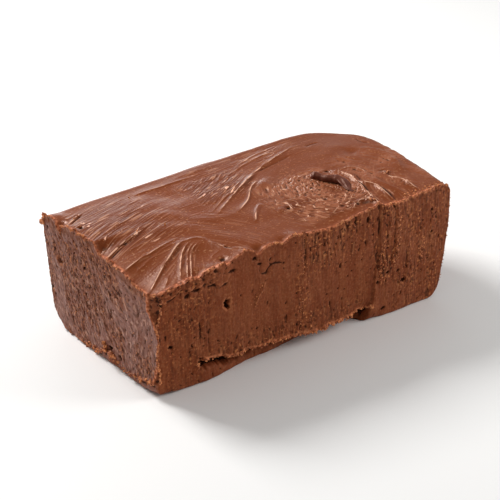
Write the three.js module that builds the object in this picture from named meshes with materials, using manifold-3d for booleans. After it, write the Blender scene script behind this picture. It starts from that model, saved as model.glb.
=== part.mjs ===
import * as THREE from "three";
import { mergeVertices } from "three/addons/utils/BufferGeometryUtils.js";
import Module from "manifold-3d";

// Chocolate fudge: the corner block of a slab that set in a tray. Millimetres, +Z up.
// Two sides were cut with a knife and meet at the near corner, at x = 0, y = 0. The other two took
// the tray's leaning walls, its rounded corner and its rounded foot. While the block is shaped,
// x runs along the long cut side, y runs back from it, and z is the height over the base.

// Overall size
const LENGTH = 105.7;
const WIDTH = 59.5;
const HEIGHT = 35.4;
const FAR_END_BULGE = 5.2;
const TOP_RISE_ALONG = 1.7;
const TOP_RISE_ACROSS = 1.2;

// The low near corner of the top, where the knife dragged the soft fudge down
const CORNER_DROP = 3.6;
const CORNER_DROP_REACH = 14;
const CORNER_DROP_FROM = 8;
const CORNER_DROP_TO = 26;
const BACK_DROOP = 1.5;
const BACK_DROOP_REACH = 24;
const SAG_AT = 60;
const SAG_REACH = 9;
const SAG = 1.2;

// The step down to the middle of the cut end's rim
const STEP = 2.9;
const STEP_REACH = 7;
const STEP_RISES_FROM = 14;
const STEP_RISES_TO = 27;
const STEP_ENDS_FROM = 27.5;
const STEP_ENDS_TO = 31.5;

// The tray's form
const TRAY_CORNER = 16;
const SHOULDER = 3.2;
const WALL_LEAN = 3.9;
const LEAN_STARTS_AT = 26;
const SIDE_FOOT = { reach: 10, height: 6 };
const END_FOOT = { reach: 4.5, height: 6 };

// The spur that the knife left at the top of the cut end, against the tray's wall
const SPUR = 0.9;
const SPUR_REACH = 3;
const SPUR_FROM = 25;
const SPUR_FULL_AT = 34;

// The near upright edge, where the corner crumbled away: heights, each with how far along the cut
// end it crumbled, and how steeply it falls back there
const CRUMBLED = [[21.7, 0], [23.5, 1.2], [26, 3.6], [36, 3.4]];
const CRUMBLED_SLOPE = 0.4;

// The foot of the cut sides
const CUT_FOOT = 5;
const CUT_FOOT_ROUNDING = 0.9;
const NEAR_CORNER_ROUNDING = 2.8;
const NEAR_CORNER_REACH = 5;

// The torn recess under the ragged lip of the long cut side: places along it, each with the lip's
// height there, and the recess
const LIP = [[14, 7.6], [19.5, 6.9], [27, 4.8], [30, 5.3], [36, 5.3], [45, 4.4], [60, 3.4], [78, 4.8]];
const LIP_FROM = 14;
const LIP_TO = 78;
const LIP_WAVE = 0.4;
const LIP_BURR = 0.5;
const RECESS_DEPTH = 6.5;
const RECESS_DEEPEST = 0.78;
const NEAR_RECESS = { at: 31, depth: 1.4, reach: 9 };

// The scoop at the right end of the recess, where a lump came away. Its right side is steep.
const SCOOP = { at: 74.5, height: 2.5, depth: 2.4, wide: 3.2, tall: 3, steepFrom: 77, steepTo: 78 };

// The long cut side: its right part stands proud, and the knife smeared a band below the left rim
const PROUD_FROM = 78;
const PROUD_BY = 0.5;
const SMEAR_TO = 26;
const SMEAR_BY = 0.4;
const CUT_WAVE = 0.25;

// How finely the block is divided
const COLUMNS_ALONG = 60;
const COLUMNS_ACROSS = 32;
const WALL_ROWS = [0, 0.035, 0.08, 0.15, 0.24, 0.34, 0.45, 0.56, 0.67, 0.78, 0.89, 1];
const FOOT_ROWS = [0.86, 0.6, 0.3, 0];
const STROKE_STEPS = 20;

// Strokes of the knife in the top. Each is a path over the top, the height that it raises, or
// sinks if negative, and how wide it is to the left and to the right of its path.
const STROKES = [
  // ridges that fan out from the near corner
  { path: [[3, 5], [6, 8], [13.5, 13.5], [20.5, 17]], height: 0.72, left: 1.7, right: 0.9 },
  { path: [[10.5, 3.5], [16, 11], [19, 14], [22.5, 16]], height: 0.59, left: 1.4, right: 0.9 },
  { path: [[13, 2], [18, 10.5], [23, 13]], height: 0.59, left: 1, right: 1 },
  { path: [[1, 16], [7.5, 17], [15, 18], [21, 18]], height: 0.52, left: 1.6, right: 0.9 },
  { path: [[1, 24], [4.5, 26.5], [13, 28.5], [22, 28]], height: 0.72, left: 1.8, right: 0.9 },
  // the fold right of them, steep towards the smooth pool on its left
  { path: [[20.5, 17], [24.5, 16], [26.5, 14], [28.5, 8.5], [31, 3.5], [32.5, 0]],
    height: 0.98, left: 4.5, right: 0.9 },
  // soft bands behind them
  { path: [[17.5, 35.5], [23.5, 35.5], [28, 31.5], [32, 25], [38, 22], [46, 21]],
    height: 0.45, left: 2.2, right: 2.4 },
  { path: [[10.5, 21.5], [18, 22.5], [22.5, 20.5], [26.5, 16.5], [30.5, 13]],
    height: 0.39, left: 1.8, right: 1.4 },
  { path: [[5, 34], [16, 38.5], [28, 42], [40, 43.5]], height: 0.33, left: 2.5, right: 1.6 },
  { path: [[27.5, 52], [37, 52], [47, 54], [56.5, 55.5]], height: 0.45, left: 2, right: 2 },
  // the long crest through the middle, with a trough before it
  { path: [[47, 32], [56, 38], [64, 44], [70, 45.3], [76, 46.5], [82, 47.5], [88, 50]],
    height: 0.85, left: 2.6, right: 1.3 },
  { path: [[50, 31.5], [56, 35.5], [64, 41.3], [70, 42.3], [76, 43.8], [82, 44.6]],
    height: -0.45, left: 1.3, right: 1.8 },
  { path: [[37.5, 26.5], [44.5, 31.5], [50.5, 35], [59, 41]], height: -0.33, left: 1.2, right: 1.2 },
  { path: [[42, 21], [49.5, 26.5], [54, 31], [59, 35.5]], height: 0.45, left: 1.4, right: 1.4 },
  { path: [[69.5, 50], [79, 51], [89, 52]], height: 0.33, left: 1.6, right: 1.6 },
  // the rolled curl and the ridges right of it
  { path: [[73.6, 23.5], [75, 26.2], [78.4, 26.2], [79.8, 23.6], [78.6, 20], [78.3, 17], [79, 13.5]],
    height: 1.3, left: 1.3, right: 1.5 },
  { path: [[82, 27], [83, 22], [82.5, 17.5], [81.5, 12.5], [80.5, 8], [79.5, 2]],
    height: 0.59, left: 1.1, right: 1.6 },
  { path: [[84.8, 26], [84.8, 18.5], [85.7, 14], [86, 8.5], [85.6, 0]], height: 0.45, left: 1.2, right: 1 },
  { path: [[94, 19], [94.5, 13], [96, 8.5], [96.5, 4.5]], height: 0.39, left: 1.4, right: 1.2 },
  { path: [[70.5, 3.5], [74, 6], [76.5, 6.3], [78.5, 4.5], [79, 1]], height: 0.59, left: 1.2, right: 1 },
  { path: [[62, 8], [66, 14], [67, 21], [70, 28]], height: 0.39, left: 1.6, right: 1.4 },
  { path: [[66, 6], [71, 13], [72, 20], [74, 30]], height: 0.33, left: 1.2, right: 1.4 },
];

// Dents in the top, and notches in its rims: where, how deep and how wide
const DENTS = [
  { x: 22, y: 7, depth: 0.9, radius: 5 },
  { x: 24.3, y: 2.8, depth: 0.7, radius: 2 },
  { x: 33.5, y: 43.5, depth: 0.6, radius: 5 },
  { x: 61, y: 32, depth: -0.5, radius: 2.8 },
  { x: 97.5, y: 36, depth: 0.7, radius: 2.6 },
  { x: 105, y: 54, depth: 1.4, radius: 10 },
  { x: -1, y: 7, depth: 0.8, radius: 6.5 },
  { x: 0, y: 38, depth: 1, radius: 2 },
  { x: 0, y: 49.2, depth: 2.3, radius: 1.6 },
  { x: 0, y: 54.5, depth: -1.8, radius: 3 },
  { x: 14, y: 0, depth: 1.1, radius: 2.4 },
  { x: 24.5, y: 0, depth: 0.7, radius: 1.6 },
  { x: 30, y: 0, depth: -0.8, radius: 2.6 },
  { x: 34.5, y: 0, depth: 1.6, radius: 1.7 },
  { x: 43, y: 0, depth: 0.8, radius: 1.5 },
  { x: 47.5, y: 0, depth: -0.8, radius: 3 },
  { x: 86.5, y: 0, depth: 0.9, radius: 5 },
];

// Holes that open on the cut sides: x, y and z of the middle, and the three radii
const HOLES = [
  { at: [23.5, 0, 22.3], radii: [1.2, 1.6, 1.7] },
  { at: [14.5, 0, 6.8], radii: [1.5, 2, 1.5] },
  { at: [4.7, 0, 14.5], radii: [0.9, 1.1, 0.8] },
  { at: [0, 51, 22.7], radii: [1.6, 1.1, 0.9] },
  { at: [0, 19.6, 3.9], radii: [1.5, 1, 1.1] },
  { at: [0, 24.8, 5.4], radii: [1.4, 1.2, 0.8] },
];
const HOLE_DETAIL = 1;

// Finish
const FUDGE_BROWN = 0x8a5540;

const smooth = THREE.MathUtils.smoothstep;

// A bell that is 1 at its middle and falls off over the given width.
function bell(distance, width) {
  return Math.exp(-((distance / width) ** 2));
}

// A slow uneven wave along a length, between about -1 and 1.
function waver(along, shift) {
  return (
    0.5 * Math.sin(along * 0.31 + shift) +
    0.3 * Math.sin(along * 0.83 + shift * 2.7) +
    0.2 * Math.sin(along * 2.1 + shift * 4.1)
  );
}

// The value at a place, from a table of places with values. It holds the end values past its ends.
function valueAt(table, place) {
  if (place <= table[0][0]) {
    return table[0][1];
  }
  for (let row = 1; row < table.length; row++) {
    const [from, low] = table[row - 1];
    const [to, high] = table[row];
    if (place <= to) {
      return THREE.MathUtils.mapLinear(place, from, to, low, high);
    }
  }
  return table[table.length - 1][1];
}

// A quarter round: how far its surface stands in at a height over the foot.
function footInset(foot, z) {
  const below = Math.max(0, foot.height - z) / foot.height;
  return foot.reach * (1 - Math.sqrt(1 - below * below));
}

// How far the shoulder stands in, or drops, at a distance under its top or from its side.
function shoulderInset(distance) {
  const left = Math.max(0, SHOULDER - Math.max(0, distance));
  return SHOULDER - Math.sqrt(SHOULDER * SHOULDER - left * left);
}

// The shoulder is shared between the top and the wall at its halfway line.
const SHOULDER_SHARE = SHOULDER * (1 - Math.SQRT1_2);

function wallLean(z) {
  return WALL_LEAN * (Math.max(0, LEAN_STARTS_AT - z) / LEAN_STARTS_AT) ** 1.3;
}

function farEnd(y) {
  return LENGTH + FAR_END_BULGE * Math.sin(Math.PI * 0.5 * Math.min(1, y / (WIDTH - TRAY_CORNER)));
}

// The strokes as polylines
const strokes = STROKES.map((stroke) => {
  const points = stroke.path.map(([x, y]) => new THREE.Vector3(x, y, 0));
  const line = new THREE.CatmullRomCurve3(points, false, "centripetal").getPoints(STROKE_STEPS);
  return { ...stroke, line };
});

// What one stroke adds at a point of the top. It fades out towards both of its ends.
function strokeAt(stroke, x, y) {
  let nearest = Infinity;
  let side = 0;
  let along = 0;
  for (let i = 0; i < STROKE_STEPS; i++) {
    const a = stroke.line[i];
    const b = stroke.line[i + 1];
    const dx = b.x - a.x;
    const dy = b.y - a.y;
    const share = ((x - a.x) * dx + (y - a.y) * dy) / (dx * dx + dy * dy);
    const t = THREE.MathUtils.clamp(share, 0, 1);
    const distance = Math.hypot(x - a.x - t * dx, y - a.y - t * dy);
    if (distance < nearest) {
      nearest = distance;
      side = dx * (y - a.y) - dy * (x - a.x);
      along = (i + t) / STROKE_STEPS;
    }
  }
  const width = side > 0 ? stroke.left : stroke.right;
  const fade = smooth(along, -0.1, 0.2) * (1 - smooth(along, 0.8, 1.1));
  return stroke.height * fade * bell(nearest, width);
}

// Height of the top before its shoulder
function topLevel(x, y) {
  let z = HEIGHT + (TOP_RISE_ALONG * x) / LENGTH + (TOP_RISE_ACROSS * y) / WIDTH;
  const nearEdge = 1 - smooth(y, CORNER_DROP_FROM, CORNER_DROP_TO);
  z -= CORNER_DROP * Math.exp(-Math.max(0, x) / CORNER_DROP_REACH) * nearEdge;
  z -= BACK_DROOP * Math.exp(-Math.max(0, x) / BACK_DROOP_REACH) * smooth(y, 36, WIDTH);
  const step = smooth(y, STEP_RISES_FROM, STEP_RISES_TO) * (1 - smooth(y, STEP_ENDS_FROM, STEP_ENDS_TO));
  z -= STEP * Math.exp(-Math.max(0, x) / STEP_REACH) * step;
  z -= SAG * bell(x - SAG_AT, SAG_REACH) * Math.exp(-Math.max(0, y) / 12);
  for (const stroke of strokes) {
    z += strokeAt(stroke, x, y);
  }
  for (const dent of DENTS) {
    z -= dent.depth * bell(Math.hypot(x - dent.x, y - dent.y), dent.radius);
  }
  return z;
}

// Distance in from the two moulded sides, seen from above
function fromTraySides(x, y) {
  const past = x - (farEnd(y) - TRAY_CORNER);
  const behind = y - (WIDTH - TRAY_CORNER);
  if (past > 0 && behind > 0) {
    return TRAY_CORNER - Math.hypot(past, behind);
  }
  return Math.min(farEnd(y) - x, WIDTH - y);
}

function topHeight(x, y) {
  return topLevel(x, y) - shoulderInset(fromTraySides(x, y));
}

// Height of the line above which a cut side is flat: the ragged lip, or the top of the rounded foot
function footLine(x) {
  const inLip = smooth(x, LIP_FROM - 3, LIP_FROM + 3) * (1 - smooth(x, LIP_TO - 2, LIP_TO + 2));
  const lip = valueAt(LIP, x) + LIP_WAVE * waver(x * 1.3, 2);
  return THREE.MathUtils.lerp(CUT_FOOT, lip, inLip);
}

function recessDepth(x) {
  const along = THREE.MathUtils.clamp((x - LIP_FROM) / (LIP_TO - LIP_FROM), 0, 1);
  const skewed = along ** (Math.log(0.5) / Math.log(RECESS_DEEPEST));
  const near = NEAR_RECESS.depth * bell(x - NEAR_RECESS.at, NEAR_RECESS.reach);
  return RECESS_DEPTH * Math.sin(Math.PI * skewed) ** 0.65 + near * smooth(x, LIP_FROM, LIP_FROM + 4);
}

// Rounding of the foot of a cut side, larger at the near corner
function cutFootInset(z, fromCorner) {
  const reach = THREE.MathUtils.lerp(
    CUT_FOOT_ROUNDING,
    NEAR_CORNER_ROUNDING,
    bell(fromCorner, NEAR_CORNER_REACH),
  );
  return footInset({ reach, height: reach * 1.2 }, z);
}

function scoopDepth(x, z) {
  const out = Math.hypot((x - SCOOP.at) / SCOOP.wide, (z - SCOOP.height) / SCOOP.tall);
  return SCOOP.depth * bell(out, 1) * (1 - smooth(x, SCOOP.steepFrom, SCOOP.steepTo));
}

// The long cut side: how far in its surface lies at a place along it and a height
function longCut(x, z) {
  const line = footLine(x);
  let y = CUT_WAVE * waver(x * 0.6 + z * 0.15, 1) + cutFootInset(z, x) + scoopDepth(x, z);
  y -= PROUD_BY * smooth(x, PROUD_FROM - 1, PROUD_FROM + 1);
  const smear = HEIGHT - 5.5 + 1.2 * waver(x, 5);
  y -= SMEAR_BY * smooth(z, smear - 1, smear + 0.5) * (1 - smooth(x, SMEAR_TO - 6, SMEAR_TO));
  y -= LIP_BURR * bell(z - line, 1) * smooth(recessDepth(x), 0, 1);
  const under = THREE.MathUtils.clamp((line - z) / line, 0, 1);
  return y + recessDepth(x) * smooth(under, 0, 0.35) * (1 - 0.15 * under);
}

// How far the cut end falls back beside the near upright edge
function cornerCut(y, z) {
  return CRUMBLED_SLOPE * Math.max(0, valueAt(CRUMBLED, z) - y);
}

// The cut end
function endCut(y, z) {
  return CUT_WAVE * waver(y * 0.7 - z * 0.2, 3) + cutFootInset(z, y) + cornerCut(y, z);
}

// Where a point of the unit square lies on the block at a height. u runs along, v runs across,
// and under is the depth below the top's level, which sets the shoulder.
function place(u, v, z, under) {
  const shoulder = shoulderInset(under);
  const spur = SPUR * bell(u * LENGTH, SPUR_REACH) * smooth(z, SPUR_FROM, SPUR_FULL_AT);
  const back = WIDTH + spur - shoulder - wallLean(z) - footInset(SIDE_FOOT, z);
  const front = longCut(u * LENGTH, z);
  const y = THREE.MathUtils.lerp(front, back, v);
  const left = endCut(y, z);
  const right = farEnd(y) - shoulder - wallLean(z) - footInset(END_FOOT, z);
  const x = THREE.MathUtils.lerp(left, right, u);
  const s = THREE.MathUtils.clamp((x - right + TRAY_CORNER) / TRAY_CORNER, 0, 1);
  const t = THREE.MathUtils.clamp((y - back + TRAY_CORNER) / TRAY_CORNER, 0, 1);
  return [
    s > 0 ? right - TRAY_CORNER + TRAY_CORNER * s * Math.sqrt(1 - (t * t) / 2) : x,
    t > 0 ? back - TRAY_CORNER + TRAY_CORNER * t * Math.sqrt(1 - (s * s) / 2) : y,
  ];
}

// The block as one closed surface: the top sheet, the walls round it and the flat base.
function blockGeometry() {
  const positions = [];
  const faces = [];
  const addPoint = (x, y, z) => positions.push(x, y, z) / 3 - 1;
  const addQuad = (a, b, c, d) => faces.push(a, b, c, a, c, d);

  const sheet = [];
  for (let j = 0; j <= COLUMNS_ACROSS; j++) {
    for (let i = 0; i <= COLUMNS_ALONG; i++) {
      const [x, y] = place(i / COLUMNS_ALONG, j / COLUMNS_ACROSS, HEIGHT, SHOULDER_SHARE);
      sheet.push(addPoint(x, y, topHeight(x, y)));
    }
  }
  const onSheet = (i, j) => sheet[j * (COLUMNS_ALONG + 1) + i];
  for (let j = 0; j < COLUMNS_ACROSS; j++) {
    for (let i = 0; i < COLUMNS_ALONG; i++) {
      addQuad(onSheet(i, j), onSheet(i + 1, j), onSheet(i + 1, j + 1), onSheet(i, j + 1));
    }
  }

  // The rim of the sheet, counterclockwise from the near corner
  const rim = [];
  for (let i = 0; i < COLUMNS_ALONG; i++) rim.push([i, 0]);
  for (let j = 0; j < COLUMNS_ACROSS; j++) rim.push([COLUMNS_ALONG, j]);
  for (let i = COLUMNS_ALONG; i > 0; i--) rim.push([i, COLUMNS_ACROSS]);
  for (let j = COLUMNS_ACROSS; j > 0; j--) rim.push([0, j]);

  const walls = rim.map(([i, j]) => {
    const column = [onSheet(i, j)];
    const start = column[0] * 3;
    const [rimX, , rimZ] = positions.slice(start, start + 3);
    const line = j === 0 ? footLine(rimX) : CUT_FOOT;
    const heights = WALL_ROWS.slice(1).map((share) => THREE.MathUtils.lerp(rimZ, line, share));
    heights.push(...FOOT_ROWS.map((share) => line * share));
    for (const z of heights) {
      const under = SHOULDER_SHARE + rimZ - z;
      const [x, y] = place(i / COLUMNS_ALONG, j / COLUMNS_ACROSS, z, under);
      column.push(addPoint(x, y, z));
    }
    return column;
  });
  for (let k = 0; k < walls.length; k++) {
    const here = walls[k];
    const next = walls[(k + 1) % walls.length];
    for (let row = 0; row + 1 < here.length; row++) {
      addQuad(here[row + 1], next[row + 1], next[row], here[row]);
    }
  }

  const base = walls.map((column) => column[column.length - 1]);
  const outline = base.map((index) => new THREE.Vector2(positions[index * 3], positions[index * 3 + 1]));
  for (const [a, b, c] of THREE.ShapeUtils.triangulateShape(outline, [])) {
    faces.push(base[a], base[c], base[b]);
  }

  const geometry = new THREE.BufferGeometry();
  geometry.setAttribute("position", new THREE.Float32BufferAttribute(positions, 3));
  geometry.setIndex(faces);
  return geometry;
}

// A hole's uneven form, a ball with bumps
function holeGeometry(hole) {
  const round = new THREE.IcosahedronGeometry(1, HOLE_DETAIL);
  round.deleteAttribute("normal");
  round.deleteAttribute("uv");
  const geometry = mergeVertices(round);
  const corner = new THREE.Vector3();
  const position = geometry.getAttribute("position");
  for (let i = 0; i < position.count; i++) {
    corner.fromBufferAttribute(position, i);
    corner.multiplyScalar(1 + 0.15 * waver(i * 3.7, hole.at[0]));
    position.setXYZ(i, corner.x, corner.y, corner.z);
  }
  geometry.scale(...hole.radii);
  geometry.translate(...hole.at);
  return geometry;
}

const wasm = await Module();
wasm.setup();

function solidFrom(geometry) {
  const vertProperties = new Float32Array(geometry.getAttribute("position").array);
  const triVerts = new Uint32Array(geometry.getIndex().array);
  return new wasm.Manifold(new wasm.Mesh({ numProp: 3, vertProperties, triVerts }));
}

function geometryFrom(solid) {
  const mesh = solid.getMesh();
  const geometry = new THREE.BufferGeometry();
  geometry.setAttribute("position", new THREE.Float32BufferAttribute(mesh.vertProperties, 3));
  geometry.setIndex([...mesh.triVerts]);
  return geometry;
}

let block = solidFrom(blockGeometry());
for (const hole of HOLES) {
  block = block.subtract(solidFrom(holeGeometry(hole)));
}

const geometry = geometryFrom(block);
geometry.computeVertexNormals();

const fudgeFinish = new THREE.MeshStandardMaterial({
  color: FUDGE_BROWN,
  roughness: 0.55,
  metalness: 0,
});
const fudge = new THREE.Mesh(geometry, fudgeFinish);
fudge.name = "fudge";

// The block's own origin is the middle of its box, on the base.
geometry.computeBoundingBox();
const middle = geometry.boundingBox.getCenter(new THREE.Vector3());
geometry.translate(-middle.x, -middle.y, -geometry.boundingBox.min.z);

const part = new THREE.Group();
part.add(fudge);

export default part;
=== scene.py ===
import math

import bpy
import numpy as np
from mathutils import Matrix, Vector


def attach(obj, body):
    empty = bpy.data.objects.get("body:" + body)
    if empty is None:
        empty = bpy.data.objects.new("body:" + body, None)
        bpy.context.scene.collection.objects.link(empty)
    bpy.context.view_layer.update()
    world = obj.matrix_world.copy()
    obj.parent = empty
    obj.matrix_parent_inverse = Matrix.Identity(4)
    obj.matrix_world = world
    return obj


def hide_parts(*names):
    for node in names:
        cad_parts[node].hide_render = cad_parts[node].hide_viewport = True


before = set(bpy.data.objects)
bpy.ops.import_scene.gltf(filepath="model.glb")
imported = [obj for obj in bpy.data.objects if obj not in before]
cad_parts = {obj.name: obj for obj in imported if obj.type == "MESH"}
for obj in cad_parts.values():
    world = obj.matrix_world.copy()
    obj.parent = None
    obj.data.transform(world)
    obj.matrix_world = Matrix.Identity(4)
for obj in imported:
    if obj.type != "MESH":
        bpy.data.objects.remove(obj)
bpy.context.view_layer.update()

# The block of fudge
# A corner block from a slab of chocolate fudge that set in a tray: sugar, butter and chocolate,
# boiled, beaten and poured. Two sides are knife-cut, two took the tray's shape, and the top was
# swirled with a knife. In millimetres: x along the long cut side, y back from it, z over the base.
MM = 0.001
LENGTH = 105.7
WIDTH = 59.5
HEIGHT = 35.4
# how much higher the top is at the far end, and at the back
RISE_ALONG = 1.7
RISE_ACROSS = 1.2
# how far the tray's end wall bows out, and the radius of its upright corner
FAR_END_BULGE = 5.2
TRAY_CORNER = 16
# the radius of the top's edge along the tray's walls, and the part of it that the top sheet takes
SHOULDER = 3.2
SHOULDER_SHARE = SHOULDER * (1 - math.sqrt(0.5))
# how far the rounded foot reaches in and up under each moulded side, and up under the cut ones
SIDE_FOOT = (10, 6)
END_FOOT = (4.5, 6)
CUT_FOOT = 5
# where the lip over the torn recess starts and ends, at the step, and the recess's greatest depth
LIP_FROM, LIP_TO = 14, 78
RECESS_DEPTH = 6.5
# how far the long side stands out past the step, and the scoop before it: place, height and depth
STEP_OUT = 0.5
SCOOP_AT, SCOOP_HEIGHT, SCOOP_DEPTH = 74.5, 2.5, 2.4

# divided to about 0.3 mm on the cut sides and the top, so that the knife's marks are in the mesh
COLUMNS_ALONG = 370
COLUMNS_ACROSS = 200
WALL_ROWS = 92
FOOT_ROWS = 15


def smooth(value, low, high):
    """0 below the low value and 1 above the high one, eased in between."""
    share = np.clip((value - low) / (high - low), 0, 1)
    return share * share * (3 - 2 * share)


def bell(distance, width):
    """1 at no distance, falling softly to nothing over about two widths."""
    return np.exp(-((distance / width) ** 2))


def crest(distance, width):
    """1 at no distance, with a sharp edge there, falling to nothing over a few widths."""
    return np.exp(-np.abs(distance) / width)


def grain(x, y, seed):
    """Smooth uneven bumps between -1 and 1, about one to each unit of x and y."""
    size = 128
    lattice = np.random.default_rng(seed).uniform(-1, 1, (size, size))
    x, y = np.broadcast_arrays(np.asarray(x, float), np.asarray(y, float))
    i, j = np.floor(x).astype(int), np.floor(y).astype(int)
    s, t = x - i, y - j
    s, t = s * s * (3 - 2 * s), t * t * (3 - 2 * t)
    near = lattice[i % size, j % size] * (1 - s) + lattice[(i + 1) % size, j % size] * s
    far = lattice[i % size, (j + 1) % size] * (1 - s) + lattice[(i + 1) % size, (j + 1) % size] * s
    return near * (1 - t) + far * t


def rough(x, y, seed, layers=3):
    """Bumps with finer bumps on them."""
    total = 0
    for layer in range(layers):
        total = total + grain(x * 2.1**layer, y * 2.1**layer, seed + layer) * 0.55**layer
    return total


def waver(along, shift):
    """A slow, uneven wave between -1 and 1, as a hand-held blade leaves."""
    return (
        0.5 * np.sin(along * 0.31 + shift)
        + 0.3 * np.sin(along * 0.83 + shift * 2.7)
        + 0.2 * np.sin(along * 2.1 + shift * 4.1)
    )


def foot_inset(foot, z):
    """How far a moulded side's rounded foot stands in at a height."""
    reach, height = foot
    below = np.clip(height - z, 0, height) / height
    return reach * (1 - np.sqrt(1 - below * below))


def shoulder_inset(distance):
    """How far the rounded edge falls at a distance in from it."""
    left = SHOULDER - np.clip(distance, 0, SHOULDER)
    return SHOULDER - np.sqrt(SHOULDER * SHOULDER - left * left)


def wall_lean(z):
    """How far the tray's walls lean in at a height."""
    starts_at, at_the_base = 26, 3.9
    return at_the_base * (np.clip(starts_at - z, 0, starts_at) / starts_at) ** 1.3


def far_end(y):
    """The place of the bowed far end."""
    return LENGTH + FAR_END_BULGE * np.sin(np.pi / 2 * np.clip(y / (WIDTH - TRAY_CORNER), -1, 1))


def curve_through(points, steps=24):
    """Points along a smooth curve through the given ones."""
    points = np.array(points, float)
    padded = np.vstack([2 * points[0] - points[1], points, 2 * points[-1] - points[-2]])
    spans = len(points) - 1
    share = np.linspace(0, spans, steps + 1)
    span = np.minimum(share.astype(int), spans - 1)
    t = (share - span)[:, None]
    a, b, c, d = (padded[span + k] for k in range(4))
    straight = 2 * b + (c - a) * t
    return 0.5 * (straight + (2 * a - 5 * b + 4 * c - d) * t**2 + (3 * b - a - 3 * c + d) * t**3)


def beside(line, x, y):
    """Distance from a line, positive on its left, and the share of the way along it."""
    nearest = np.full(x.shape, 1e9)
    side = np.zeros(x.shape)
    along = np.zeros(x.shape)
    for k in range(len(line) - 1):
        start, step = line[k], line[k + 1] - line[k]
        t = np.clip(((x - start[0]) * step[0] + (y - start[1]) * step[1]) / (step @ step), 0, 1)
        dx, dy = x - start[0] - t * step[0], y - start[1] - t * step[1]
        distance = np.hypot(dx, dy)
        closer = distance < nearest
        nearest = np.where(closer, distance, nearest)
        side = np.where(closer, np.sign(step[0] * dy - step[1] * dx), side)
        along = np.where(closer, (k + t) / (len(line) - 1), along)
    return nearest * side, along


# paths of the knife that are both a broad stroke and a thin crest on it
FAN_RIDGE = [(9, 0.5), (13.6, 7.4), (17.6, 12.4), (22, 15.7)]
NEAR_RIDGE = [(0.2, 15.3), (5.7, 16.4), (11, 17.4), (19.6, 19.2)]
DEEP_RIDGE = [(-1.9, 22.9), (3, 24.9), (8.5, 27.2), (14.7, 29)]
FIRST_RIB = [(82.2, 27), (82.9, 24), (82.5, 16), (79.8, 6.4), (77.8, -1)]
SECOND_RIB = [(83.6, 27), (85.6, 22), (84.2, 17), (84.6, 14), (85.7, 11), (85, 5), (84.6, 0)]
HOOK = [(70.4, 2.9), (74, 5.4), (76.7, 5.5), (78.3, 3), (77.8, -1.2)]

# broad strokes of the knife in the top: path, height, and width to the left and right of the path
STROKES = [
    ([(3, 5), (6, 8), (13.5, 13.5), (20.5, 17)], 0.18, 2.4, 1),
    (FAN_RIDGE, 0.15, 2, 0.9),
    (NEAR_RIDGE, 0.15, 2.6, 1),
    (DEEP_RIDGE, 0.24, 2.2, 0.9),
    ([(20.5, 17), (24.5, 16), (26.1, 13.4), (27.9, 7.8), (29.9, 3.9), (32.4, 0.8)], 0.3, 1, 4.5),
    ([(15.2, 25.3), (22.5, 26.3), (27.7, 21.3), (31.2, 12.5), (36.6, 2.6)], 0.27, 3, 2.4),
    ([(17.5, 35.5), (23.5, 35.5), (28, 31.5), (32, 25), (38, 22), (46, 21)], 0.18, 2.2, 2.4),
    ([(5, 34), (16, 38.5), (28, 42), (40, 43.5)], 0.12, 2.5, 1.6),
    ([(27.5, 52), (37, 52), (47, 54), (56.5, 55.5)], 0.15, 2, 2),
    ([(47, 32), (56, 38), (64, 44), (70, 45.3), (76, 46.5), (82, 47.5), (88, 50)], 0.15, 3, 2.4),
    ([(50, 31.5), (56, 35.5), (64, 41), (70, 42), (76, 43.6), (82, 44.6)], -0.05, 1.5, 1.8),
    ([(37.5, 26.5), (44.5, 31.5), (50.5, 35), (59, 41)], -0.07, 1.2, 1.2),
    ([(42, 21), (49.5, 26.5), (54, 31), (59, 35.5)], 0.12, 1.4, 1.4),
    ([(57, 31), (61.5, 33.7), (66, 35.8)], 0.18, 1.8, 1.4),
    ([(69.5, 50), (79, 51), (89, 52)], 0.12, 1.6, 1.6),
    (FIRST_RIB, 0.9, 0.6, 2.2),
    (SECOND_RIB, 0.7, 0.6, 1.6),
    ([(89.5, 20), (89.3, 12), (90, 5), (90, 0)], 0.4, 0.8, 1.6),
    ([(95, 19), (93.4, 14), (94.8, 8.8), (94.6, 3)], 0.45, 0.7, 2),
    ([(99.8, 37.2), (103.4, 31.2), (104.2, 27), (102.8, 21), (99.6, 14.7)], 0.6, 1.4, 2.6),
    ([(88, 37), (93, 41), (99, 42)], 0.21, 2.6, 2),
    ([(84, 33), (91, 34), (97, 31)], 0.15, 2, 1.6),
    (HOOK, 0.36, 1.1, 0.9),
    ([(62, 8), (66, 14), (67, 21), (70, 28)], 0.18, 1.6, 1.4),
    ([(53.2, 14.9), (56, 16.4), (58.8, 16.8)], 0.24, 1.1, 0.8),
    ([(73.8, 26.6), (74.6, 22.6), (75.6, 18.6), (76.3, 14.8)], -0.21, 0.5, 1.3),
]

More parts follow.
